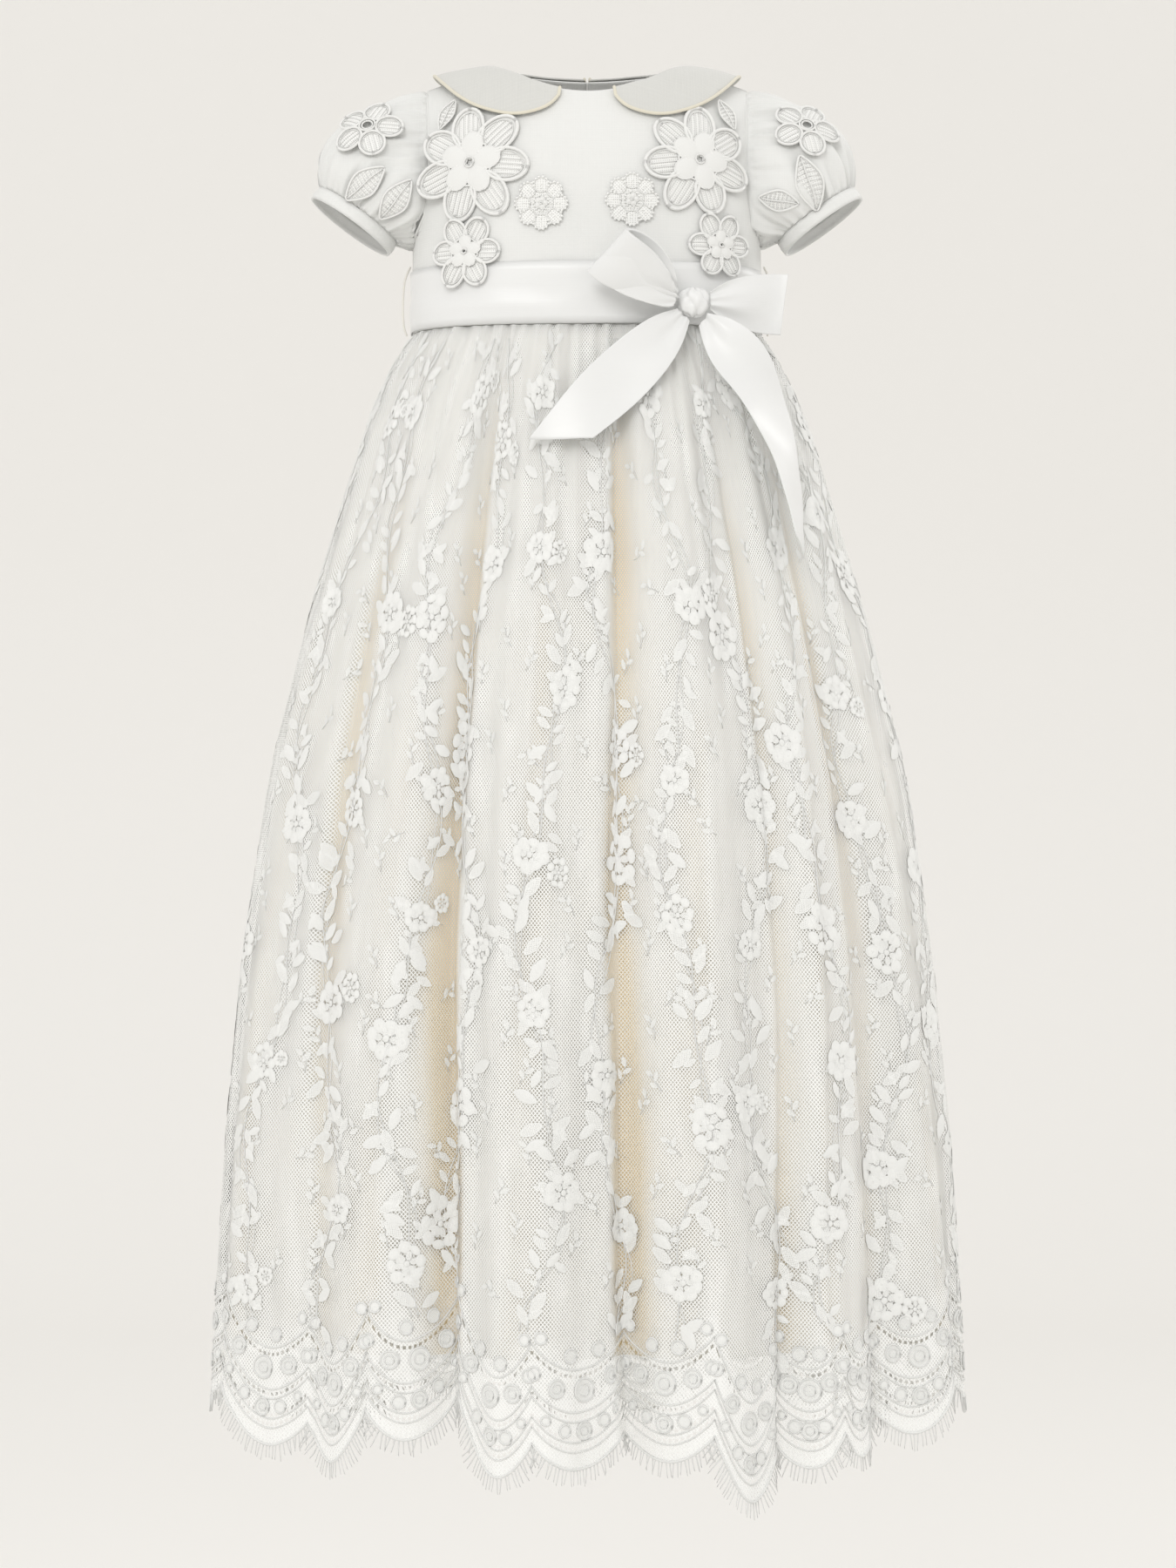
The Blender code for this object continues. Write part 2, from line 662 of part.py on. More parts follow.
def bodice_ring(level, lift):
    """The bodice's own waist points at a level, moved out by lift."""
    right = half_columns()
    front = [column * BODICE_HALF_WIDTH for column in [-c for c in right[:-1]] + right[::-1]]
    places = [(x, FRONT) for x in front] + [(x, BACK) for x in front[-2:0:-1]]
    ring = []
    for x, face in places:
        y = body_y(x, level, face)
        inner = min(max(x, -BODICE_HALF_WIDTH + 0.01), BODICE_HALF_WIDTH - 0.01)
        slope_x = math.copysign((abs(inner) / BODICE_HALF_WIDTH) ** (PLAN_POWER - 1), x)
        slope_y = face.side * (abs(y) / face.depth) ** (PLAN_POWER - 1)
        normal = Vector((slope_x / BODICE_HALF_WIDTH, slope_y / face.depth, 0)).normalized()
        ring.append(Vector((x, y, level)) + normal * lift)
    return ring


def add_sash():
    middle = (SASH_TOP_Z + SASH_BOTTOM_Z) / 2
    out = SASH_GAP + RIBBON_WALL
    rows = [bodice_ring(level, out) for level in (SASH_TOP_Z, middle, SASH_BOTTOM_Z)]
    bm = loft(rows, closed=True)
    face_away(bm, on_vertical_axis)
    thicken(bm, RIBBON_WALL, settle=lambda point, normal: Vector((normal.x, normal.y, 0)))
    return add_part("sash", bm, SATIN)


def add_belt_loop(name, side):
    """A thread loop over the sash at the side seam, a curve with round section."""
    near = BODICE_HALF_WIDTH + LAY_GAP + BELT_LOOP_RADIUS
    route = (
        Vector((near, 0, SASH_TOP_Z + 5.0)),
        Vector((near + BELT_LOOP_REACH * 0.8, 0, SASH_TOP_Z - 2.0)),
        Vector((near + BELT_LOOP_REACH, 0, (SASH_TOP_Z + SASH_BOTTOM_Z) / 2)),
        Vector((near + BELT_LOOP_REACH * 0.9, 0, SASH_BOTTOM_Z + 4.0)),
        Vector((near + 2.0, 0, SASH_BOTTOM_Z - 0.5)),
    )
    curve = bpy.data.curves.new(name, "CURVE")
    curve.dimensions = "3D"
    curve.bevel_depth = BELT_LOOP_RADIUS * MM
    curve.bevel_resolution = 1
    curve.use_fill_caps = True
    spline = curve.splines.new("POLY")
    spline.points.add(len(route) - 1)
    for knot, point in zip(spline.points, route):
        knot.co = (*(mirrored(point, side) * MM), 1)
    curve.materials.append(material(IVORY_CLOTH))
    loop = bpy.data.objects.new(name, curve)
    gown.objects.link(loop)
    return loop


def add_label():
    """A blank tape inside the back of the neck."""
    across = 4
    down = 3
    rows = []
    for row_index in range(down + 1):
        z = LABEL_TOP_Z - LABEL_HEIGHT * row_index / down
        row = []
        for step in range(across + 1):
            x = LABEL_LEFT_X + LABEL_WIDTH * step / across
            row.append(on_body_front_view(x, z, BACK, -(WALL + LABEL_GAP)))
        rows.append(row)
    bm = loft(rows)
    face_away(bm, on_vertical_axis)
    thicken(bm, LABEL_WALL)
    return add_part("neck_label", bm, LABEL_TAPE)


# Skirt


def half_width_at(drop):
    levels = SKIRT_LEVELS
    if drop >= levels[-1].drop:
        share = min((drop - levels[-1].drop) / (HEM_DROP - levels[-1].drop), 1.5)
        return levels[-1].half_width + (HEM_HALF_WIDTH - levels[-1].half_width) * share
    for upper, lower in zip(levels, levels[1:]):
        if drop <= lower.drop:
            share = (drop - upper.drop) / (lower.drop - upper.drop)
            return upper.half_width + (lower.half_width - upper.half_width) * share
    return HEM_HALF_WIDTH


def skirt_base(angle, drop):
    """The plain skirt surface, with no folds, at an angle in degrees from the centre front."""
    half_width = half_width_at(drop)
    spread = half_width - SKIRT_LEVELS[0].half_width
    front = math.cos(math.radians(angle)) >= 0
    face = FRONT if front else BACK
    growth = FRONT_DEPTH_GROWTH if front else BACK_DEPTH_GROWTH
    ease = BODICE_HALF_WIDTH - SKIRT_LEVELS[0].half_width
    depth = face.depth - ease + spread * growth
    power = PLAN_POWER + (HEM_PLAN_POWER - PLAN_POWER) * min(drop / HEM_DROP, 1) ** 0.5
    sine = math.sin(math.radians(angle))
    cosine = math.cos(math.radians(angle))
    x = half_width * math.copysign(abs(sine) ** (2 / power), sine)
    y = -depth * math.copysign(abs(cosine) ** (2 / power), cosine)
    return Vector((x, y, WAIST_Z - SEAM_GAP / 2 - drop))


def skirt_out(angle, drop):
    """Level outward direction of the plain skirt surface."""
    if abs(math.cos(math.radians(angle))) < 0.001:
        return Vector((math.sin(math.radians(angle)), 0, 0)).normalized()
    around = skirt_base(angle + 1, drop) - skirt_base(angle - 1, drop)
    return Vector((-around.y, around.x, 0)).normalized() * -1


def fold_angle(fold, phase):
    start = FOLDS[fold].valley_angle
    return start + (FOLDS[fold + 1].valley_angle - start) * phase


def fold_height(fold, phase, drop, ridge_share=1.0):
    valley = FOLDS[fold].valley_height
    if phase > 0.5:
        valley = FOLDS[fold + 1].valley_height
    ridge = FOLDS[fold].ridge_height
    shape = math.sin(math.pi * phase) ** 2
    growth = (drop / HEM_DROP) ** FOLD_GROWTH_POWER
    return growth * (valley + (ridge - valley) * shape * ridge_share)


def skirt_point(fold, phase, drop, inset=0.0, ridge_share=1.0):
    angle = fold_angle(fold, phase)
    height = fold_height(fold, phase, drop, ridge_share) - inset
    return skirt_base(angle, drop) + skirt_out(angle, drop) * height


def skirt_normal(fold, phase, drop, ridge_share=1.0):
    """Level outward direction of the folded skirt, without the small gathers."""
    if abs(math.cos(math.radians(fold_angle(fold, phase)))) < 0.001:
        return skirt_out(fold_angle(fold, phase), drop)
    near = 0.06
    low = max(phase - near, 0.0)
    high = min(phase + near, 1.0)
    around = skirt_point(fold, high, drop, 0, ridge_share)
    around -= skirt_point(fold, low, drop, 0, ridge_share)
    normal = Vector((around.y, -around.x, 0)).normalized()
    return normal if normal.dot(skirt_out(fold_angle(fold, phase), drop)) > 0 else -normal


def panel_stations(folds, steps):
    """(fold, phase) along a panel, with both of its side seams."""
    stations = [(fold, step / steps) for fold in folds for step in range(steps)]
    return stations + [(folds[-1], 1.0)]


def part_at_seam(row, face):
    """Hold the two ends of a panel's row half a seam gap from the side seam."""
    for point in (row[0], row[-1]):
        point.y = face.side * SEAM_GAP / 2
    return row


def hem_drop(index):
    """Scalloped hem: its drop at a step, from a scallop's start over its tip to the next."""
    scallop = index // STEPS_PER_SCALLOP % len(SCALLOPS)
    phase = index % STEPS_PER_SCALLOP / STEPS_PER_SCALLOP
    start = SCALLOPS[scallop]
    following = SCALLOPS[(scallop + 1) % len(SCALLOPS)]
    level = start.start_drop + (following.start_drop - start.start_drop) * phase
    tip = start.tip_drop - (start.start_drop + following.start_drop) / 2
    return level + tip * math.sin(math.pi * phase) ** 0.9


def hem_row(folds):
    """(point, normal) at each step of the lace hem, without the seam gap."""
    stations = panel_stations(folds, STEPS_PER_FOLD)
    first = folds[0] * STEPS_PER_FOLD
    row = []
    for index, (fold, phase) in enumerate(stations):
        drop = hem_drop(first + index)
        row.append((skirt_point(fold, phase, drop), skirt_normal(fold, phase, drop)))
    return row


def add_lace(name, folds, face):
    rows = []
    normals = []
    for level in SKIRT_LEVELS:
        steps = STEPS_PER_FOLD * 2 if level.gather else STEPS_PER_FOLD
        row = []
        for index, (fold, phase) in enumerate(panel_stations(folds, steps)):
            normal = skirt_normal(fold, phase, level.drop)
            gather = level.gather * (0.8 + 0.2 * math.sin(2.3 * index))
            if index % 2:
                gather = -gather
            row.append(skirt_point(fold, phase, level.drop) + normal * gather)
            normals.append(normal)
        rows.append(part_at_seam(row, face))
    hem = hem_row(folds)
    rows.append(part_at_seam([point for point, normal in hem], face))
    normals.extend(normal for point, normal in hem)
    bm = loft(rows)
    face_away(bm, on_vertical_axis)
    thicken(bm, WALL, steps=normals)
    return add_part(name, bm, LACE)


def add_lining(name, folds, face):
    rows = []
    normals = []
    for drop in LINING_DROPS:
        share = drop / LINING_DROPS[-1]
        inset = WALL + LINING_GAP_TOP + (LINING_GAP_HEM - LINING_GAP_TOP) * share
        row = []
        for fold, phase in panel_stations(folds, STEPS_PER_FOLD // 2):
            row.append(skirt_point(fold, phase, drop, inset, LINING_RIDGE_SHARE))
            normals.append(skirt_normal(fold, phase, drop, LINING_RIDGE_SHARE))
        rows.append(part_at_seam(row, face))
    bm = loft(rows)
    face_away(bm, on_vertical_axis)
    thicken(bm, WALL, steps=normals)
    return add_part(name, bm, LINING_CLOTH)


def add_fringe(name, folds, face):
    """A narrow strip just under the scalloped edge, with thread ends hanging from it."""
    bm = bmesh.new()
    hem = hem_row(folds)
    tops = part_at_seam([point + Vector((0, 0, -FRINGE_GAP)) for point, normal in hem], face)
    normals = [normal for point, normal in hem]
    outer_top = [bm.verts.new(point) for point in tops]
    inner_top = [bm.verts.new(point - normal * WALL) for point, normal in zip(tops, normals)]
    cuts = []
    for strand in range(STRANDS_PER_STEP):
        middle = (strand + 0.5) / STRANDS_PER_STEP
        cuts.append(middle - STRAND_SHARE / STRANDS_PER_STEP / 2)
        cuts.append(middle + STRAND_SHARE / STRANDS_PER_STEP / 2)
    low = Vector((0, 0, -FRINGE_STRIP))
    outer_low = []
    inner_low = []
    for step, (here, following) in enumerate(zip(tops, tops[1:])):
        for share in [0.0] + cuts:
            point = here.lerp(following, share) + low
            normal = normals[step].lerp(normals[step + 1], share).normalized()
            outer_low.append(bm.verts.new(point))
            inner_low.append(bm.verts.new(point - normal * WALL))
    outer_low.append(bm.verts.new(tops[-1] + low))
    inner_low.append(bm.verts.new(tops[-1] + low - normals[-1] * WALL))
    per_step = len(cuts) + 1
    half = per_step // 2 + 1
    for step in range(len(tops) - 1):
        for top, bottom in ((outer_top, outer_low), (inner_top, inner_low)):
            for cut in range(per_step):
                index = step * per_step + cut
                corner = top[step] if cut < half else top[step + 1]
                bm.faces.new((corner, bottom[index], bottom[index + 1]))
            bm.faces.new((top[step], bottom[step * per_step + half], top[step + 1]))
        bm.faces.new((outer_top[step], outer_top[step + 1], inner_top[step + 1], inner_top[step]))
    for index in range(len(outer_low) - 1):
        root = (outer_low[index], outer_low[index + 1], inner_low[index + 1], inner_low[index])
        if index % per_step % 2 == 0:
            bm.faces.new(root)
            continue
        edge = outer_low[index + 1].co - outer_low[index].co
        normal = outer_low[index].co - inner_low[index].co
        lean = edge.cross(normal).normalized()
        if lean.z > 0:
            lean.negate()
        hang = (Vector((0, 0, -1)) + lean * FRINGE_LEAN).normalized()
        centre = sum((corner.co for corner in root), Vector()) / 4
        tip = bm.verts.new(centre + hang * FRINGE_LENGTH)
        for one, other in zip(root, root[1:] + root[:1]):
            bm.faces.new((one, other, tip))
    for top_out, top_in, low_in, low_out in (
        (outer_top[0], inner_top[0], inner_low[0], outer_low[0]),
        (outer_top[-1], inner_top[-1], inner_low[-1], outer_low[-1]),
    ):
        bm.faces.new((top_out, top_in, low_in, low_out))
    return add_part(name, bm, LACE)


# Bow


def add_ribbon(name, lines):
    """A ribbon through its lines, each with a point at both ends and one in the middle."""
    rows = []
    for line in lines:
        middle = Vector((line.x, line.y, line.z))
        across = Vector((line.across_x, line.across_y, line.across_z)).normalized()
        rows.append([middle + across * line.width * share for share in (-0.5, -0.17, 0.17, 0.5)])
    bm = loft(rows)
    bm.normal_update()
    thicken(bm, RIBBON_WALL)
    return add_part(name, bm, SATIN)


def add_knot():
    bm = bmesh.new()
    bmesh.ops.create_uvsphere(bm, u_segments=12, v_segments=8, radius=1.0)
    bmesh.ops.scale(bm, vec=KNOT_RADII, verts=bm.verts[:])
    bmesh.ops.translate(bm, vec=KNOT_CENTRE, verts=bm.verts[:])
    return add_part("bow_knot", bm, SATIN)


# Flowers and leaves


def petal_radii(petals, steps, notch):
    """Outline of a flower, from notch to notch, as shares of its radius."""
    radii = []
    for index in range(petals * steps):
        phase = (index % steps) / steps
        radii.append(notch + (1 - notch) * math.sin(math.pi * phase) ** 0.6)
    return radii


def leaf_radii(steps, slimness):
    """Outline of a pointed leaf along its first direction, as shares of its half length."""
    radii = []
    for index in range(steps):
        angle = 2 * math.pi * index / steps
        pointed = abs(math.cos(angle)) + abs(math.sin(angle)) / slimness
        rounded = math.hypot(math.cos(angle), math.sin(angle) / slimness)
        radii.append(2 / (pointed + rounded))
    return radii


def add_plate(name, place, radii, radius, turn, height):
    """A sewn-on flower or leaf. place(a, b, h) puts its flat points on the cloth."""
    bm = bmesh.new()
    count = len(radii)

    def ring(share, level):
        made = []
        for index, length in enumerate(radii):
            angle = math.radians(turn) + 2 * math.pi * index / count
            reach = radius * length * share
            flat = (reach * math.cos(angle), reach * math.sin(angle))
            made.append(bm.verts.new(place(*flat, level)))
        return made

    top_centre = bm.verts.new(place(0, 0, height))
    top_middle = ring(0.5, height * 0.7)
    top_edge = ring(1.0, height * 0.6)
    low_edge = ring(1.0, 0.0)
    low_middle = ring(0.5, 0.0)
    low_centre = bm.verts.new(place(0, 0, 0.0))
    for index in range(count):
        after = (index + 1) % count
        bm.faces.new((top_centre, top_middle[index], top_middle[after]))
        bm.faces.new((low_centre, low_middle[after], low_middle[index]))
        for inner, outer in ((top_middle, top_edge), (top_edge, low_edge), (low_edge, low_middle)):
            bm.faces.new((inner[index], outer[index], outer[after]))
            bm.faces.new((inner[index], outer[after], inner[after]))
    return add_part(name, bm, GUIPURE)


def bodice_place(centre_x, centre_z):
    def place(a, b, level):
        x = centre_x + a
        z = centre_z + b
        lift = LAY_GAP + level + max(abs(x) - 55, 0) * 0.025
        over_sash = min(max((SASH_TOP_Z + 6 - z) / 4, 0), 1)
        lift += over_sash * (SASH_GAP + RIBBON_WALL + 0.3)
        past_seam = abs(x) - SEAM_BRIDGE_X
        if past_seam <= 0:
            return on_body_front_view(x, z, FRONT, lift)
        point = on_body_front_view(math.copysign(SEAM_BRIDGE_X, x), z, FRONT, lift)
        return point + Vector((math.copysign(past_seam, x), -past_seam * SEAM_BRIDGE_SLOPE, 0))

    return place


def sleeve_sprig_place(sprig):
    centre_angle = math.radians(sprig.angle)
    around = sleeve_place(centre_angle + 0.1, sprig.share)
    around -= sleeve_place(centre_angle - 0.1, sprig.share)
    along = sleeve_place(centre_angle, sprig.share + 0.05)
    along -= sleeve_place(centre_angle, sprig.share - 0.05)

    def place(a, b, level):
        angle = centre_angle + a * 0.2 / around.length
        share = sprig.share - b * 0.1 / along.length
        share = min(max(share, 0.02), 0.98)
        point = sleeve_place(angle, share)
        point += sleeve_normal(angle, share) * (SLEEVE_SPRIG_GAP + level)
        return mirrored(point, sprig.side)

    return place


def add_flowers():
    for flower in BODICE_FLOWERS:
        add_plate(
            flower.name,
            bodice_place(flower.x, flower.z),
            petal_radii(flower.petals, flower.steps, flower.notch),
            flower.radius,
            flower.turn,
            flower.height,
        )
    for leaf in SHOULDER_LEAVES:
        place = bodice_place(leaf.x, leaf.z)
        radii = leaf_radii(10, leaf.width / leaf.length)
        add_plate(leaf.name, place, radii, leaf.length, leaf.turn, leaf.height)
    for sprig in SLEEVE_SPRIGS:
        if sprig.petals:
            radii = petal_radii(sprig.petals, 5, 0.58)
        else:
            radii = leaf_radii(10, sprig.width / sprig.length)
        add_plate(
            sprig.name, sleeve_sprig_place(sprig), radii, sprig.length, sprig.turn, sprig.height
        )


add_bodice()
add_label()
for word, side in (("left", -1), ("right", 1)):
    add_sleeve(f"sleeve_{word}", side)
    add_cuff(f"cuff_{word}", side)
    add_collar(f"collar_{word}", side)
    add_belt_loop(f"belt_loop_{word}", side)
add_sash()
add_ribbon("bow_loop_left", BOW_LOOP_LEFT_HAND)
add_ribbon("bow_loop_right", BOW_LOOP_RIGHT_HAND)
add_ribbon("bow_tail_left", BOW_TAIL_LEFT_HAND)
add_ribbon("bow_tail_right", BOW_TAIL_RIGHT_HAND)
add_knot()
for word, folds, face in (("front", FRONT_FOLDS, FRONT), ("back", BACK_FOLDS, BACK)):
    add_lining(f"skirt_lining_{word}", folds, face)
    add_lace(f"skirt_lace_{word}", folds, face)
    add_fringe(f"lace_fringe_{word}", folds, face)
add_flowers()
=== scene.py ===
# %% [markdown]
# # A christening gown
# The gown is filled out as when it is worn. Its solids give each piece's place and main form, and
# this lesson makes the cloth, lace, ribbon and sewn flowers that go over them, piece by piece.

# %% Load the solids
import math
from itertools import takewhile

import bmesh
import bpy
import numpy as np
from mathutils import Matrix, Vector


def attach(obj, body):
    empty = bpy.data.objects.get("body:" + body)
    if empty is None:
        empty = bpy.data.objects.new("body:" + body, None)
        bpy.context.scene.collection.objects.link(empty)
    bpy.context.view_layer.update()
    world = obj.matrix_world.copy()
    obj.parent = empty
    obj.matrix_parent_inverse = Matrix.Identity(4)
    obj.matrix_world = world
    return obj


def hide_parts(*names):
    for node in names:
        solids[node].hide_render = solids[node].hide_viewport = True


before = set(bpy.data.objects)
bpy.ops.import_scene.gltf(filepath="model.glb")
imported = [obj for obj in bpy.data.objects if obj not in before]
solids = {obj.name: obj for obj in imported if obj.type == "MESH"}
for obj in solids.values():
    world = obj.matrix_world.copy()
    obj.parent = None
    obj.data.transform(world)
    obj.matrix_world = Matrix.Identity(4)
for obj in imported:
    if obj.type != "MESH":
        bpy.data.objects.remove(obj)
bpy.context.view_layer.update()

MM = 0.001
SIDES = (("left", -1), ("right", 1))
PANELS = (("front", 0), ("back", 6))
bpy.ops.object.select_all(action="DESELECT")


# %% [markdown]
# ## The studio
# The photograph is a front view from about two metres, level with the middle of the gown. A plain
# pale sweep behind and below gives the same quiet background from every side, and a bright sky with
# two large soft lamps leaves only faint shadows, as in a catalogue.

# %% Camera
CAMERA_PLACE = (0.0005, -2.2, -0.3936)
FOCAL_LENGTH = 91.67
camera_data = bpy.data.cameras.new("camera")
camera_data.lens = FOCAL_LENGTH
camera_data.sensor_width = 36
camera = bpy.data.objects.new("camera", camera_data)
camera.location = CAMERA_PLACE
camera.rotation_euler = (math.radians(90), 0, 0)
bpy.context.scene.collection.objects.link(camera)
bpy.context.scene.camera = camera
bpy.context.scene.view_settings.view_transform = "Standard"
print("camera at", CAMERA_PLACE)

# %% Sweep
FLOOR_Z = -1.15
FLOOR_SIZE = (40, 30)
BACK_Y = 4.5
BACK_HEIGHT = 5
SWEEP_RADIUS = 1.2
bpy.ops.mesh.primitive_plane_add(size=1, location=(0, 0, FLOOR_Z))
sweep = bpy.context.object
sweep.name = "studio_sweep"
bpy.ops.object.mode_set(mode="EDIT")
bpy.ops.transform.resize(value=(*FLOOR_SIZE, 1))
bpy.ops.transform.translate(value=(0, BACK_Y - FLOOR_SIZE[1] / 2, 0))
bpy.ops.mesh.select_mode(type="EDGE")
bpy.ops.mesh.select_all(action="DESELECT")
bpy.ops.object.mode_set(mode="OBJECT")


def select_back_edge(mesh):
    """Select the edge where the floor meets the back."""
    for edge in mesh.edges:
        ends = [mesh.vertices[i].co for i in edge.vertices]
        edge.select = all(end.y > BACK_Y - 0.1 and end.z < 0.01 for end in ends)


select_back_edge(sweep.data)
bpy.ops.object.mode_set(mode="EDIT")
bpy.ops.mesh.extrude_region_move(TRANSFORM_OT_translate={"value": (0, 0, BACK_HEIGHT)})
bpy.ops.object.mode_set(mode="OBJECT")
select_back_edge(sweep.data)
bpy.ops.object.mode_set(mode="EDIT")
bpy.ops.mesh.bevel(offset=SWEEP_RADIUS, segments=16, affect="EDGES")
bpy.ops.object.mode_set(mode="OBJECT")
bpy.ops.object.transform_apply(location=True, rotation=True, scale=True)
bpy.ops.object.shade_smooth()
paper = bpy.data.materials.new("studio_paper")
paper.use_nodes = True
paper.node_tree.nodes["Principled BSDF"].inputs["Base Color"].default_value = (0.895, 0.885, 0.865, 1)
paper.node_tree.nodes["Principled BSDF"].inputs["Roughness"].default_value = 0.95
sweep.data.materials.append(paper)
print("sweep:", len(sweep.data.polygons), "faces")


# %% Lamps
def add_lamp(name, place, aim, size, watts):
    data = bpy.data.lights.new(name, "AREA")
    data.shape = "DISK"
    data.size = size
    data.energy = watts
    lamp = bpy.data.objects.new(name, data)
    lamp.location = place
    lamp.rotation_euler = (Vector(aim) - Vector(place)).to_track_quat("-Z", "Y").to_euler()
    bpy.context.scene.collection.objects.link(lamp)
    print(name, "stands at", place)


add_lamp("key_lamp", (-0.6, -2.4, 1.1), (0, 0, -0.35), 1.2, 19)
add_lamp("side_lamp", (2.2, 1.0, 0.8), (0, 0, -0.3), 1.0, 9)
world = bpy.data.worlds.new("studio")
world.use_nodes = True
world.node_tree.nodes["Background"].inputs["Color"].default_value = (1.0, 0.985, 0.96, 1)
world.node_tree.nodes["Background"].inputs["Strength"].default_value = 0.93
bpy.context.scene.world = world

# %% [markdown]
# ## Shader maths as Python
# A material is a graph of nodes, which is hard to read as a list of links. Here one small class
# wraps a socket and overloads the operators, so that a weave or a net reads as a formula.


# %% A socket that can be used in formulas
class Value:
    """A socket of a finish. Python's operators on it add Math nodes."""

    def __init__(self, finish, socket):
        self.finish = finish
        self.socket = socket

    def maths(self, operation, *others):
        sockets = dict(enumerate((self, *others)))
        return self.finish.node("ShaderNodeMath", {"operation": operation}, sockets)

    def __add__(self, other):
        return self.maths("ADD", other)

    def __mul__(self, other):
        return self.maths("MULTIPLY", other)

    def __sub__(self, other):
        return self.maths("SUBTRACT", other)

    def __rsub__(self, other):
        return self.finish.node("ShaderNodeMath", {"operation": "SUBTRACT"}, {0: other, 1: self})

    __radd__ = __add__
    __rmul__ = __mul__

    def wave(self, length):
        """From 0 to 1 and back once in each length."""
        return (self * (2 * math.pi / length)).maths("SINE") * 0.5 + 0.5

    def at_least(self, limit):
        return self.maths("GREATER_THAN", limit)

    def greater(self, other):
        return self.maths("MAXIMUM", other)

    def held(self):
        """Kept between 0 and 1."""
        return self.maths("MAXIMUM", 0.0).maths("MINIMUM", 1.0)


class Finish:
    """A material and its Principled shader."""

    def __init__(self, name, colour, roughness, sheen=0.0, specular=0.3):
        self.material = bpy.data.materials.new(name)
        self.material.use_nodes = True
        self.tree = self.material.node_tree
        self.shader = self.tree.nodes["Principled BSDF"]
        self.colour = (*colour, 1.0)
        self.set("Base Color", self.colour)
        self.set("Roughness", roughness)
        self.set("Sheen Weight", sheen)
        self.set("Specular IOR Level", specular)

    def node(self, kind, settings=None, sockets=None, out=0):
        made = self.tree.nodes.new(kind)
        for name, value in (settings or {}).items():
            setattr(made, name, value)
        for name, value in (sockets or {}).items():
            self.feed(made.inputs[name], value)
        return Value(self, made.outputs[out])

    def feed(self, socket, value):
        if isinstance(value, Value):
            self.tree.links.new(value.socket, socket)
        else:
            socket.default_value = value

    def set(self, socket, value):
        self.feed(self.shader.inputs[socket], value)

    def cloth_place(self, measure="cloth"):
        """The cloth's own measure across and along, in metres."""
        uv = self.node("ShaderNodeUVMap", {"uv_map": measure})
        split = self.node("ShaderNodeSeparateXYZ", None, {0: uv})
        return split, Value(self, split.socket.node.outputs[1])

    def attribute(self, name):
        """A value that the mesh holds at each of its points."""
        return self.node("ShaderNodeAttribute", {"attribute_name": name}, None, out=2)

    def noise(self, stretch, detail=3.0):
        """Cloudy values over the cloth. stretch is how many clouds there are in a metre each way."""
        uv = self.node("ShaderNodeUVMap", {"uv_map": "cloth"})
        placed = self.node("ShaderNodeVectorMath", {"operation": "MULTIPLY"}, {0: uv, 1: stretch})
        return self.node("ShaderNodeTexNoise", None, {"Vector": placed, "Scale": 1.0, "Detail": detail})

    def blend(self, factor, first, second):
        """Two colours mixed."""
        return self.node(
            "ShaderNodeMix", {"data_type": "RGBA"}, {0: factor, 6: first, 7: second}, out=2
        )

    def two_tones(self, shade, first, second):
        """The finish's own colour, from its first share of brightness to its second."""
        tones = tinted(self.colour, first), tinted(self.colour, second)
        self.set("Base Color", self.blend(shade, *tones))

    def bump(self, height, distance, strength=1.0):
        sockets = {"Height": height, "Distance": distance, "Strength": strength}
        self.set("Normal", self.node("ShaderNodeBump", None, sockets))


def tinted(colour, share):
    """The same colour, lighter or darker."""
    return (*(min(channel * share, 1.0) for channel in colour[:3]), 1.0)


# %% [markdown]
# ## The cloths
# The gown mixes five cloths. The bodice is a plain weave, the collar a greyer linen with thicker
# threads here and there, the sash a soft satin, the skirt a fine net lace, and the lining a smooth
# cream cloth. Each weave is worked in the cloth's own measure, so it follows the cloth's folds.


# %% Woven finishes
def plain_weave(name, colour, roughness, thread, slub, sheen=0.25):
    """Threads over and under, with a few thicker ones and a little cloudiness in the colour."""
    finish = Finish(name, colour, roughness, sheen)
    across, along = finish.cloth_place()
    warp = across.wave(thread)
    weft = along.wave(thread * 1.1)
    over = (across.wave(thread * 2) * along.wave(thread * 2.2) * 2).held()
    thick_warp = finish.noise((1400, 60, 1))
    thick_weft = finish.noise((50, 1300, 1))
    slubs = (thick_warp + thick_weft) * 0.5
    cloud = finish.noise((14, 11, 1), 4)
    shade = (slubs * slub + cloud * 0.12 + over * 0.10).held()
    finish.two_tones(shade, 0.90, 1.06)
    finish.bump(warp * 0.3 + weft * 0.3 + over * 0.3 + slubs * (1.2 * slub), 0.00012, 0.7)
    return finish.material


ivory_cloth = plain_weave("ivory_cloth", (0.80, 0.805, 0.79), 0.75, thread=0.0005, slub=0.5)
collar_linen = plain_weave("collar_linen", (0.64, 0.64, 0.615), 0.85, thread=0.0008, slub=0.9)
piping_cloth = plain_weave("piping_cloth", (0.78, 0.74, 0.62), 0.7, thread=0.0004, slub=0.4)
label_tape = plain_weave("label_tape", (0.93, 0.93, 0.93), 0.5, thread=0.0006, slub=0.3)


def lining_finish(name, colour, painted_shade_colour):
    """A smooth cream cloth with painted shade: darker and more tan in the depth of the folds."""
    finish = Finish(name, colour, 0.55, 0.25)
    across, along = finish.cloth_place()
    depth = finish.attribute("valley")
    cloud = finish.noise((14, 11, 1), 4)
    # Painted shade: deep in a tuck the colour goes over to the darker tan.
    shade = (depth + (cloud - 0.5) * 0.3).held()
    finish.set("Base Color", finish.blend(shade, (*colour, 1.0), (*painted_shade_colour, 1.0)))
    finish.bump(across.wave(0.0004) + along.wave(0.0004), 0.0001, 0.5)
    return finish.material


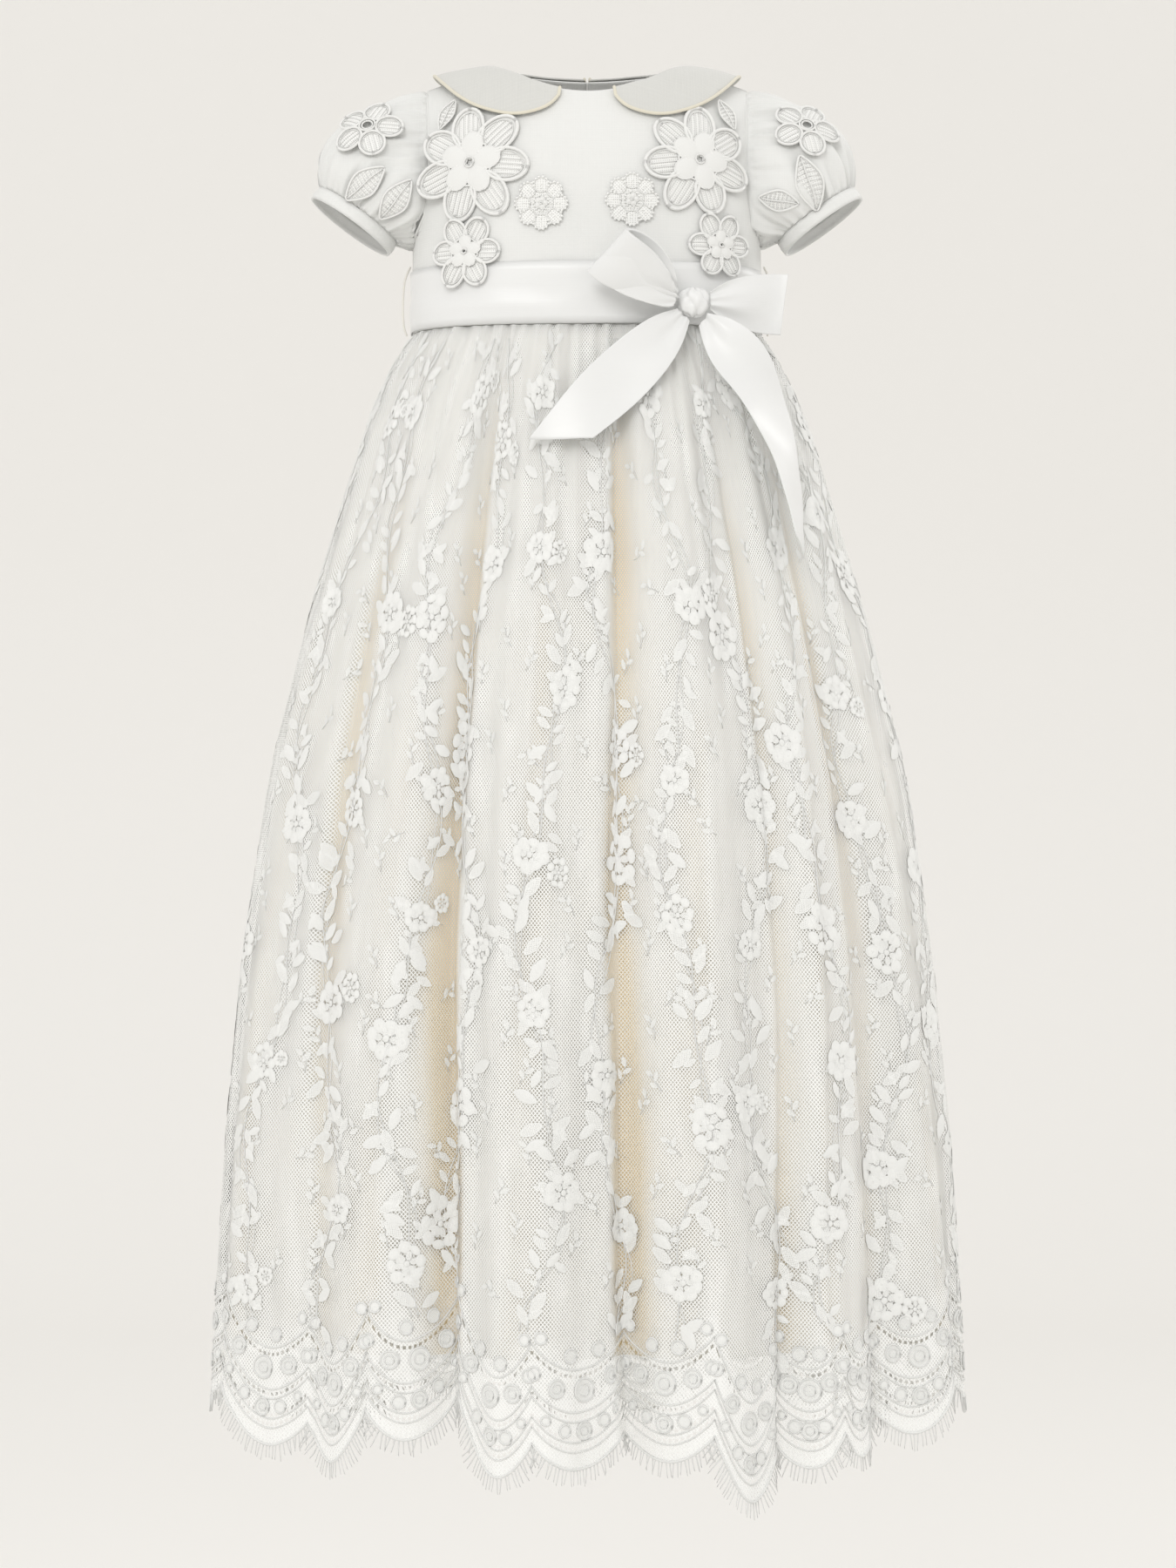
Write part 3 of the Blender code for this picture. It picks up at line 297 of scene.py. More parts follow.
lining_cloth = lining_finish("lining_cloth", (0.92, 0.90, 0.845), (0.84, 0.70, 0.455))


def satin_ribbon(name, colour):
    """Long floats of thread catch the light in one direction, with faint cross lines."""
    finish = Finish(name, colour, 0.36, 0.35, 0.5)
    _, along = finish.cloth_place()
    floats = finish.noise((30, 2200, 1), 2)
    cloud = finish.noise((9, 30, 1), 3)
    finish.two_tones(cloud, 0.97, 1.03)
    finish.set("Roughness", 0.28 + floats * 0.16)
    finish.bump(floats + along.wave(0.0007) * 0.2, 0.00006, 0.6)
    return finish.material


satin = satin_ribbon("satin_ribbon", (0.775, 0.78, 0.775))

# %% [markdown]
# The net is a diamond mesh of thread with holes of two millimetres, too small to model one by one,
# so the holes are cut in the material. The lace flowers are denser: a bright outline thread, held in
# an attribute of the mesh, round a filling of much finer mesh.


# %% Net and lace finishes
def net_threads(finish, width, height, cover):
    """1 on the threads of a diamond net with meshes of that size."""
    across, along = finish.cloth_place()
    rising = (across * (math.pi / width) + along * (math.pi / height)).maths("SINE")
    falling = (across * (math.pi / width) - along * (math.pi / height)).maths("SINE")
    nearest = rising.maths("ABSOLUTE").maths("MINIMUM", falling.maths("ABSOLUTE"))
    return 1 - nearest.at_least(math.sin(math.pi * cover / 2))


def net_finish(name, colour):
    """Net, with the border that is worked along its edge."""
    finish = Finish(name, colour, 0.8, 0.2, 0.2)
    thread = net_threads(finish, width=0.0020, height=0.0023, cover=0.36)
    haze = finish.noise((70, 22, 1), 4)
    dense = (haze * 2.6 - 1.1).held() * 0.6
    along, up = finish.cloth_place("edge")
    border = (1 - (up - 0.052) * 60).held() * 0.42
    bars = (1 - up.at_least(0.0065)) * along.wave(0.0026).at_least(0.55)
    rows = 0.0
    for height in (0.0115, 0.0165, 0.0275, 0.0485):
        row = 1 - (up - height).maths("ABSOLUTE").at_least(0.0009)
        rows = row + rows
    holes = rows.held() * along.wave(0.0031).at_least(0.42)
    # In the tucks the net is thinner, so more of the lining's painted shade shows through.
    depth = finish.attribute("valley")
    cover = (thread + dense * (1 - depth) + border + bars).held() * (1 - depth * 0.35)
    finish.set("Alpha", (cover * (1 - holes)).held())
    finish.bump(haze + thread, 0.0001, 0.5)
    return finish.material


def lace_work_finish(name, colour):
    """Close net inside a bright outline."""
    finish = Finish(name, colour, 0.75, 0.3, 0.25)
    outline = finish.attribute("thread")
    filling = net_threads(finish, width=0.0010, height=0.0012, cover=0.62)
    across, along = finish.cloth_place()
    finish.set("Alpha", outline.at_least(0.2).greater(filling))
    shade = outline * 0.6 + finish.noise((700, 500, 1)) * 0.4
    finish.two_tones(shade, 1.06, 0.95)
    finish.bump(across.wave(0.0006) * along.wave(0.0006) + outline, 0.00012, 0.7)
    return finish.material


def guipure_finish(name, colour):
    """Close satin stitches with rows of small holes along each petal; the holes are painted dark as shade.
    """
    finish = Finish(name, colour, 0.75, 0.3, 0.25)
    outline = finish.attribute("thread")
    across, along = finish.cloth_place()
    shaded_hole = (across.wave(0.00115) * along.wave(0.00135)).at_least(0.6) * (1 - outline.at_least(0.5))
    stitch = along.wave(0.00045) * 0.4 + finish.noise((900, 900, 1)) * 0.6
    worked = finish.blend(stitch, tinted(colour, 0.94), tinted(colour, 1.04))
    close = outline.at_least(0.5) * 0.5
    worked = finish.blend(close, worked, tinted(colour, 0.80))
    # Painted shade: the holes are coloured dark, as the cloth seen through them lies in shade.
    finish.set("Base Color", finish.blend(shaded_hole, worked, tinted(colour, 0.72)))
    finish.bump(stitch * 0.4 - shaded_hole * 1.2, 0.00025, 0.8)
    return finish.material


lace_net = net_finish("lace_net", (0.885, 0.89, 0.875))
lace_work = lace_work_finish("lace_work", (0.835, 0.84, 0.823))
guipure_fill = guipure_finish("guipure_fill", (0.88, 0.882, 0.865))


def corded_thread(name, colour):
    """A thick thread with a twist."""
    finish = Finish(name, colour, 0.7, 0.35, 0.3)
    across, along = finish.cloth_place()
    twist = (across + along).wave(0.0009)
    shade = twist * 0.5 + finish.noise((400, 400, 1)) * 0.5
    finish.two_tones(shade, 0.90, 1.05)
    finish.bump(twist, 0.00015, 0.8)
    return finish.material


guipure_cord = corded_thread("guipure_cord", (0.89, 0.892, 0.875))
lace_cord = corded_thread("lace_cord", (0.86, 0.865, 0.85))
ivory_thread = corded_thread("ivory_thread", (0.84, 0.82, 0.76))

# %% [markdown]
# ## From a solid to a cloth
# Cloth is made here rather than simulated, because the gown's form is fixed by its solids.
# The outer side of a solid is copied and its triangles are joined back to quads. Subdivision rounds
# it, creases are pressed in as soft troughs and ridges, and Solidify gives it the thickness of cloth.


# %% Take the outer side of a solid
def joined_copy(node):
    """A copy of a solid with its corners joined."""
    bm = bmesh.new()
    bm.from_mesh(solids[node].data)
    bmesh.ops.remove_doubles(bm, verts=bm.verts[:], dist=1e-5)
    return bm


def outer_side(node, outward, bend=62):
    """Copy the side of a solid that faces outward(place), up to its first sharp edge."""
    bm = joined_copy(node)
    bm.normal_update()
    seed = max(bm.faces, key=lambda face: face.normal.dot(outward(face.calc_center_median())))
    kept = {seed}
    edge_of_work = [seed]
    while edge_of_work:
        face = edge_of_work.pop()
        for edge in face.edges:
            for other in edge.link_faces:
                if other not in kept and face.normal.angle(other.normal, 0) < math.radians(bend):
                    kept.add(other)
                    edge_of_work.append(other)
    bmesh.ops.delete(bm, geom=[face for face in bm.faces if face not in kept], context="FACES")
    bmesh.ops.join_triangles(
        bm,
        faces=bm.faces[:],
        angle_face_threshold=math.radians(60),
        angle_shape_threshold=math.radians(70),
    )
    return bm


def add_object(name, data):
    piece = bpy.data.objects.new(name, data)
    bpy.context.scene.collection.objects.link(piece)
    return piece


def select_only(piece):
    bpy.ops.object.select_all(action="DESELECT")
    piece.select_set(True)
    bpy.context.view_layer.objects.active = piece


def apply_modifier(piece, kind, **settings):
    """Add a modifier, set it and apply it."""
    select_only(piece)
    modifier = piece.modifiers.new(kind.lower(), kind)
    for name, value in settings.items():
        setattr(modifier, name, value)
    bpy.ops.object.modifier_apply(modifier=modifier.name)


def dress(piece, slot, nodes, *finishes):
    """Give a piece its finishes, hide the solids it stands for and hang it from the root. The slot is not
    used.
    """
    for finish in finishes:
        piece.data.materials.append(finish)
    piece.data.shade_smooth()
    if nodes:
        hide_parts(*nodes)
    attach(piece, "root")
    print(f"{piece.name}: {len(piece.data.polygons)} faces")


def rounded(name, bm, levels):
    mesh = bpy.data.meshes.new(name)
    bm.to_mesh(mesh)
    bm.free()
    piece = add_object(name, mesh)
    apply_modifier(
        piece, "SUBSURF", levels=levels, render_levels=levels, boundary_smooth="PRESERVE_CORNERS"
    )
    return piece


def points_of(piece, kind="co"):
    """The places of a piece's points, or with kind normal their directions, as rows of three."""
    values = np.empty(len(piece.data.vertices) * 3)
    piece.data.vertices.foreach_get(kind, values)
    return values.reshape(-1, 3)


def move_points(piece, points):
    piece.data.vertices.foreach_set("co", points.ravel())
    piece.data.update()


def press(piece, heights):
    """Move every point out along its normal by its height, in millimetres."""
    move_points(piece, points_of(piece) + points_of(piece, "normal") * heights[:, None] * MM)


def crease(points, start, end, height, width):
    """Heights of one soft crease between two places, all in millimetres."""
    start, end = np.array(start) * MM, np.array(end) * MM
    run = end - start
    share = np.clip(((points - start) @ run) / (run @ run), 0, 1)
    distance = np.linalg.norm(points - (start + share[:, None] * run), axis=1) / MM
    fade = np.sin(math.pi * np.clip(share, 0.04, 0.96)) ** 0.6
    return height * np.exp(-((distance / width) ** 2)) * fade


def unevenness(points, height, size, seed):
    """Heights of a slow wander over the whole cloth, the same on every run."""
    rng = np.random.default_rng(seed)
    total = np.zeros(len(points))
    for _ in range(7):
        way = rng.normal(size=3)
        way /= np.linalg.norm(way)
        length = size * rng.uniform(0.6, 1.6)
        total += np.sin(points @ way / MM / length * 2 * math.pi + rng.uniform(0, 6.3))
    return total * height / 2.6


def lay_uv(mesh, name, flat):
    layer = mesh.uv_layers.new(name=name)
    corners = np.empty(len(mesh.loops), int)
    mesh.loops.foreach_get("vertex_index", corners)
    layer.data.foreach_set("uv", flat[corners].astype(np.float32).ravel())


def lay_measure(piece, measure):
    """Give the cloth its own measure as a UV map. measure turns points into two columns."""
    lay_uv(piece.data, "cloth", measure(points_of(piece)))


def open_edge(bm):
    """The corners of the open edge of a cloth, in order, as one or more runs."""
    # A dict keeps the edges in their own order, so the runs start at the same place every time.
    edges = dict.fromkeys(edge for edge in bm.edges if edge.is_boundary)
    loops = []
    while edges:
        edge = next(iter(edges))
        del edges[edge]
        start, here = edge.verts
        run = [start.co.copy(), here.co.copy()]
        while here is not start:
            edge = next((e for e in here.link_edges if e in edges), None)
            if edge is None:
                break
            del edges[edge]
            here = edge.other_vert(here)
            run.append(here.co.copy())
        loops.append(run)
    return loops


def add_tube(name, path, radius, material, slot, closed=False):
    """A thread or cord along a path, as a mesh."""
    curve = bpy.data.curves.new(name, "CURVE")
    curve.dimensions = "3D"
    curve.bevel_depth = radius
    curve.bevel_resolution = 3
    curve.use_fill_caps = not closed
    spline = curve.splines.new("POLY")
    spline.points.add(len(path) - 1)
    for corner, point in zip(spline.points, path):
        corner.co = (*point, 1)
    spline.use_cyclic_u = closed
    select_only(add_object(name, curve))
    bpy.ops.object.convert(target="MESH")
    made = bpy.context.object
    lay_measure(made, lambda points: points[:, [0, 1]] + points[:, [2, 2]])
    dress(made, slot, (), material)


def seen_from_front(points):
    return points[:, [0, 2]]


def rolled_out(points):
    """Measure round the body, and height."""
    angle = np.arctan2(points[:, 0], -points[:, 1])
    return np.stack([angle * 0.08, points[:, 2]], axis=1)


def finish_cloth(piece, material, slot, nodes, measure, wall=0.7):
    """Measure, thickness and finish for one piece of cloth, whose solids are then hidden."""
    lay_measure(piece, measure)
    area = sum(face.area for face in piece.data.polygons)
    apply_modifier(piece, "SOLIDIFY", thickness=wall * MM, offset=-1.0, use_even_offset=False)
    dress(piece, slot, nodes, material)
    print(f"its cloth measures {area:.4f} square metres")


# %% [markdown]
# ## Bodice
# One front and two backs in plain ivory cloth. The front lies smoothly over the chest with a few
# faint drags from the armholes and from the sash, and the backs meet in a closed seam.

# %% Bodice front and backs
BODICE_END = -146.8


def from_body(place):
    """The way out from the middle of the body."""
    return (place - Vector((0, 0, min(place.z, -0.075)))).normalized()


def add_bodice_panel(name, node, creases, seed):
    piece = rounded(name, outer_side(node, from_body), 2)
    points = points_of(piece)
    heights = unevenness(points, 0.25, 70, seed)
    for start, end, height, width in creases:
        heights += crease(points, start, end, height, width)
    above_seam = np.clip((points[:, 2] / MM - BODICE_END) / 12, 0, 1)
    press(piece, heights * above_seam)
    finish_cloth(piece, ivory_cloth, "ivory_cloth", [node], seen_from_front)


front_creases = [
    ((-86, -30, -88), (-52, -56, -108), -0.7, 5),
    ((-84, -34, -80), (-60, -52, -96), 0.5, 4),
    ((86, -30, -88), (54, -56, -108), -0.7, 5),
    ((85, -33, -78), (60, -52, -94), 0.5, 4),
    ((-10, -61, -112), (4, -61, -84), -0.4, 6),
    ((20, -60, -112), (12, -61, -90), 0.4, 6),
    ((-44, -56, -112), (-36, -58, -92), 0.4, 5),
]
back_creases = [
    ((80, 34, -92), (44, 50, -112), -0.6, 6),
    ((60, 44, -60), (40, 50, -96), 0.5, 8),
    ((20, 54, -112), (24, 54, -84), -0.4, 5),
]
mirrored_creases = [
    ((-a[0], a[1], a[2]), (-b[0], b[1], b[2]), height, width) for a, b, height, width in back_creases
]
add_bodice_panel("bodice_front_cloth", "bodice_front", front_creases, 1)
add_bodice_panel("bodice_back_cloth_right", "bodice_back_right", back_creases, 2)
add_bodice_panel("bodice_back_cloth_left", "bodice_back_left", mirrored_creases, 3)

# %% [markdown]
# ## Sleeves and cuffs
# A short puff sleeve is gathered into the armhole over the shoulder, and again into a narrow band
# round the arm. The gathers are deepest at the two seams and run out into the smooth puff.

# %% Sleeves
ARMHOLE_X = 88
CUFF_AXIS = np.array((0.58, -0.06, -0.81)) / np.linalg.norm((0.58, -0.06, -0.81))
CUFF_END = np.array((0.1302, -0.008, -0.088))


def puff_middle(side):
    """The middle of the air in a sleeve."""
    return Vector((0.108 * side, -0.004, -0.062))


def puff_side(word, side):
    """The outer side of a sleeve."""
    middle = puff_middle(side)
    return outer_side(f"sleeve_{word}", lambda place: (place - middle).normalized())


def swell_at(distance, middle, width):
    """1 where the distance is the middle one, fading on both sides of it."""
    return np.exp(-(((distance - middle) / width) ** 2))


def add_sleeve(word, side):
    piece = rounded(f"sleeve_cloth_{word}", puff_side(word, side), 3)
    points = points_of(piece)
    flipped = points * (side, 1, 1)
    from_armhole = np.clip(flipped[:, 0] / MM - ARMHOLE_X, 0, None)
    turn = np.arctan2(-flipped[:, 1] - 0.002, flipped[:, 2] + 0.055)
    at_top = np.clip(np.cos(turn) * 0.7 + 0.5, 0, 1)
    wander = 0.35 * np.sin(turn * 5 + side) + 0.2 * np.sin(turn * 11)
    heights = np.sin(turn * 46 + wander * 3) * at_top * np.exp(-from_armhole / 10) * 1.0
    heights += np.sin(turn * 17 + wander * 5) * at_top * swell_at(from_armhole, 13, 12) * 1.6
    from_cuff = np.clip((CUFF_END - flipped) @ CUFF_AXIS / MM - 7.8, 0, None)
    spread = flipped - CUFF_END
    spread = spread - (spread @ CUFF_AXIS)[:, None] * CUFF_AXIS
    roll = np.arctan2(-spread[:, 1], spread[:, 2])
    bend = 0.4 * np.sin(roll * 4 + 1 + side) + 0.2 * np.sin(roll * 9)
    heights += np.sin(roll * 48 + bend * 4) * np.exp(-from_cuff / 9) * 0.95
    heights += np.sin(roll * 15 + bend * 6) * swell_at(from_cuff, 10, 12) * 1.9
    heights += np.sin(roll * 7 + bend * 4) * swell_at(from_cuff, 24, 16) * 1.5
    heights += unevenness(points, 0.5, 45, 10 + side)
    held = np.clip(from_armhole / 2.5, 0, 1) * np.clip(from_cuff / 1.5, 0.3, 1)
    press(piece, heights * held)
    finish_cloth(piece, ivory_cloth, "ivory_cloth", [f"sleeve_{word}"], seen_from_front)


def add_cuff(word, side):
    node = f"cuff_{word}"
    centre = Vector(CUFF_END * (side, 1, 1)) - Vector(CUFF_AXIS * (side, 1, 1)) * 0.004
    outer = outer_side(node, lambda place: (place - centre).normalized())
    piece = rounded(f"cuff_band_{word}", outer, 2)
    along = (points_of(piece) * (side, 1, 1) - CUFF_END) @ CUFF_AXIS / MM + 7.5
    heights = 0.55 * np.sin(np.clip(along / 7.5, 0, 1) * math.pi)
    heights -= 0.35 * swell_at(along, 1.6, 0.5)
    press(piece, heights + unevenness(points_of(piece), 0.15, 25, 20 + side))
    finish_cloth(piece, ivory_cloth, "ivory_cloth", [node], rolled_out, 1.2)


def add_armhole_cord(word, side):
    """A narrow cord in the cloth's own colour, which fills the armhole seam."""
    bm = puff_side(word, side)
    run = min(open_edge(bm), key=lambda edge: abs(sum(p.x for p in edge) / len(edge)))
    bm.free()
    path = [p + Vector((-0.0004 * side, 0, 0)) for p in run[:-1]]
    add_tube(f"armhole_cord_{word}", path, 0.0008, ivory_cloth, "ivory_cloth", closed=True)


for word, side in SIDES:
    add_armhole_cord(word, side)
    add_sleeve(word, side)
    add_cuff(word, side)

# %% [markdown]
# ## Collar
# Two halves of linen, greyer than the bodice and with a coarser slub, lie from the neckline over the
# shoulders. A thin cream piping runs round the outer edge of each, made as a tube on that edge.

# %% Collar halves and their piping
NECK_HALF_WIDTH = 0.052
NECK_FRONT = 0.045
NECK_BACK = 0.036


def add_collar(word, side):
    node = f"collar_{word}"
    piece = rounded(f"collar_linen_{word}", outer_side(node, from_body, 70), 3)
    points = points_of(piece)
    heights = unevenness(points, 0.3, 38, 30 + side)
    heights += crease(points, (side * 60, -30, -4), (side * 74, -12, -6), 0.8, 9)
    heights += crease(points, (side * 40, -44, -12), (side * 54, -40, -12), -0.5, 7)
    press(piece, heights)
    bm = bmesh.new()
    bm.from_mesh(piece.data)
    runs = open_edge(bm)
    bm.free()
    edge = max(runs, key=len)
    depths = [NECK_FRONT if p.y < 0 else NECK_BACK for p in edge]
    plan = [Vector((p.x / NECK_HALF_WIDTH, p.y / depth)).length for p, depth in zip(edge, depths)]
    outer = [reach > 1.06 for reach in plan]
    start = next(i for i, is_outer in enumerate(outer) if is_outer and not outer[i - 1])
    turned_edge = zip(edge[start:] + edge[:start], outer[start:] + outer[:start])
    path = [point for point, _ in takewhile(lambda pair: pair[1], turned_edge)]
    finish_cloth(piece, collar_linen, "collar_linen", [node], lambda p: p[:, [0, 1]], 1.0)
    add_tube(f"collar_piping_{word}", path, 0.0009, piping_cloth, "collar_linen")
    print("piping of", len(path), "points")


for word, side in SIDES:
    add_collar(word, side)

# %% [markdown]
# ## Sash
# A satin ribbon round the waist over the seam. Its creases run round the body, a little slanted,
# where the ribbon has been pulled towards the knot, and it is carried by two thread loops.

# %% Sash
# One row for each crease: its two ends, its height and its width, in millimetres.
SASH_CREASES = (
    ((-92, -20, -128), (-20, -61, -134), -0.7, 3.0),
    ((-88, -26, -122), (10, -62, -126), 0.6, 3.0),
    ((-30, -60, -139), (50, -56, -136), 0.8, 3.5),
    ((0, -62, -121), (54, -54, -132), -0.8, 3.0),
    ((60, -54, -130), (95, -12, -124), 0.7, 3.5),
    ((64, -52, -138), (95, -14, -134), -0.7, 3.0),
    ((-60, 46, -124), (40, 52, -130), -0.6, 4.0),
    ((-20, 54, -138), (80, 32, -134), 0.6, 3.5),
)
CREASE_STRENGTH = 1.9
sash = rounded("sash_ribbon", outer_side("sash", lambda p: Vector((p.x, p.y, 0)).normalized()), 3)
sash_points = points_of(sash)
sash_heights = unevenness(sash_points * (1, 1, 4), 0.5, 70, 40)
for start, end, height, width in SASH_CREASES:
    sash_heights += crease(sash_points, start, end, height * CREASE_STRENGTH, width)
press(sash, sash_heights)
finish_cloth(sash, satin, "satin_ribbon", ["sash"], rolled_out, 0.5)

# %% [markdown]
# ## Bow
# The bow is tied from the same ribbon. Each loop leaves the knot narrow, because the knot gathers
# it, and opens out to its full width, so creases run out from the knot like the ribs of a fan.


# %% Bow loops, tails and knot
KNOT = np.array((0.057, -0.064, -0.136))
KNOT_HALF_SIZE = (0.0082, 0.0067, 0.0092)


def add_bow_piece(part, facing, ribs, depth, seed, levels=4):
    node = f"bow_{part}"
    outer = outer_side(node, lambda place: Vector(facing).normalized(), 80)
    piece = rounded(f"bow_ribbon_{part}", outer, levels)
    points = points_of(piece)
    away = points - KNOT
    distance = np.linalg.norm(away, axis=1) / MM
    turn = np.arctan2(away[:, 2], np.abs(away[:, 0]) + 1e-6)
    heights = np.sin(turn * ribs + seed) * depth * swell_at(distance, 12, 16)
    heights += np.sin(turn * ribs * 0.45 + seed * 2) * depth * 1.6 * swell_at(distance, 26, 22)
    heights += unevenness(points, 0.7, 40, seed)
    press(piece, heights)
    finish_cloth(piece, satin, "satin_ribbon", [node], seen_from_front, 0.45)


add_bow_piece("loop_left", (-0.3, -0.8, 0.5), 16, 0.7, 3, levels=3)
add_bow_piece("loop_right", (0.1, -1, 0), 16, 0.7, 4)
add_bow_piece("tail_left", (0, -1, 0), 14, 0.6, 5)
add_bow_piece("tail_right", (0, -1, 0), 14, 0.6, 6)

bpy.ops.object.select_all(action="DESELECT")
bpy.ops.mesh.primitive_uv_sphere_add(segments=64, ring_count=40, radius=1, location=(0, 0, 0))
knot = bpy.context.object
knot.name = "bow_ribbon_knot"
knot_points = points_of(knot)
knot_turn = np.arctan2(knot_points[:, 0], -knot_points[:, 1])
folded = np.abs(np.sin(knot_turn * 2.2 + knot_points[:, 2] * 1.9 + 0.5)) ** 0.6
swell = 0.84 + 0.2 * folded + 0.05 * np.sin(knot_turn * 7 - knot_points[:, 2] * 4)
swell -= 0.2 * knot_points[:, 2] ** 4
move_points(knot, knot_points * swell[:, None] * KNOT_HALF_SIZE + KNOT)
finish_cloth(knot, satin, "satin_ribbon", ["bow_knot"], seen_from_front, 0.3)

# %% [markdown]
# ## Thread work
# Everything embroidered on the gown is built up from three things: flat worked shapes, round threads
# and small beads. One helper collects many of them in a single mesh, because a flower has hundreds
# of stitches and each is only a few faces.


# %% Patterns that are repeated
def as_pattern(name):
    """Keep the points and faces of the object that was just added, and remove it."""
    pattern = bpy.context.object
    points = points_of(pattern)
    faces = [list(face.vertices) for face in pattern.data.polygons]
    bpy.data.objects.remove(pattern, do_unlink=True)
    print(f"{name}: {len(points)} points, {len(faces)} faces")
    return points, faces


def ring_pattern(name, corners, insets):
    """A round flat shape, modelled once: a filled circle with rings inset in it."""
    bpy.ops.object.select_all(action="DESELECT")
    bpy.ops.mesh.primitive_circle_add(vertices=corners, radius=1, fill_type="NGON")
    bpy.ops.object.mode_set(mode="EDIT")
    bpy.ops.mesh.select_mode(type="FACE")
    bpy.ops.mesh.select_all(action="SELECT")
    for inset in insets:
        bpy.ops.mesh.inset(thickness=inset, use_even_offset=False)
    bpy.ops.mesh.poke()
    bpy.ops.object.mode_set(mode="OBJECT")
    return as_pattern(name)


PETAL = ring_pattern("petal pattern", 20, (0.10, 0.10, 0.30))
LEAF = ring_pattern("leaf pattern", 10, (0.22,))
SPRIG = ring_pattern("sprig pattern", 8, (0.35,))
bpy.ops.object.select_all(action="DESELECT")
bpy.ops.mesh.primitive_ico_sphere_add(subdivisions=2, radius=1)
BEAD = as_pattern("bead pattern")

# %% [markdown]
# A sewn piece has to lie on the cloth as if it were ironed on. So its stitches are laid out flat in
# millimetres, and one function bends that flat layout over the surface. For the flowers the surface
# is a smooth sheet fitted through the under side of the flower's solid.


# %% A smooth sheet under a sewn piece
def under_sheet(node, inside, petals):
    """place(a, b, height) over a solid, the direction of its first petal, and its radius."""
    points = np.array([tuple(v.co) for v in solids[node].data.vertices])
    middle = points.mean(axis=0)
    spread = np.linalg.svd(points - middle, full_matrices=False)[2]
    normal = spread[2] * np.sign(spread[2] @ (middle - np.array(inside)))
    across = np.cross((0, 0, 1), normal)
    across /= np.linalg.norm(across)
    up = np.cross(normal, across)
    faces = [f for f in solids[node].data.polygons if np.array(f.normal) @ normal < -0.4]
    low = points[sorted({i for face in faces for i in face.vertices})] - middle
    a, b, h = (low @ way / MM for way in (across, up, normal))

    def terms(a, b):
        """The powers of a flat place up to the third."""
        a, b = a / 30, b / 30
        return np.stack((a**0, a, b, a * a, a * b, b * b, a**3, a * a * b, a * b * b, b**3), -1)

    # A solid with few points below takes the powers up to the second only.
    count = 10 if len(low) > 60 else 6
    weights = np.linalg.lstsq(terms(a, b)[:, :count], h, rcond=None)[0]

    def place(a, b, height):
        a, b = np.broadcast_arrays(np.asarray(a, float), np.asarray(b, float))

        def sheet(a, b):
            return terms(a, b)[..., :count] @ weights

        slope_a = (sheet(a + 0.5, b) - sheet(a - 0.5, b))[..., None]
        slope_b = (sheet(a, b + 0.5) - sheet(a, b - 0.5))[..., None]
        out = normal - slope_a * across - slope_b * up
        out /= np.linalg.norm(out, axis=-1, keepdims=True)
        flat = a[..., None] * across + b[..., None] * up + sheet(a, b)[..., None] * normal
        return middle + (flat + out * np.asarray(height)[..., None]) * MM

    edge_a, edge_b = (points - middle) @ across / MM, (points - middle) @ up / MM
    turn = np.arctan2(edge_b, edge_a)
    first = np.angle(np.sum(np.hypot(edge_a, edge_b) ** 6 * np.exp(1j * petals * turn))) / petals
    radius = np.hypot(edge_a, edge_b).max()
    miss = np.abs(terms(a, b)[:, :count] @ weights - h).max()
    print(f"{node}: radius {radius:.1f} mm, sheet fits within {miss:.2f} mm")
    return place, first, radius


# %% Drawing with thread
def circle(count):
    turn = np.arange(count) / count * 2 * math.pi
    return np.cos(turn), np.sin(turn)


def turned(x, y, turn, centre=(0.0, 0.0)):
    """A flat drawing, turned and moved to its centre."""
    a = centre[0] + x * math.cos(turn) - y * math.sin(turn)
    return a, centre[1] + x * math.sin(turn) + y * math.cos(turn)


def polar(reach, turn, centre=(0.0, 0.0)):
    """The place at that distance from a centre, in that direction."""
    return centre[0] + reach * math.cos(turn), centre[1] + reach * math.sin(turn)


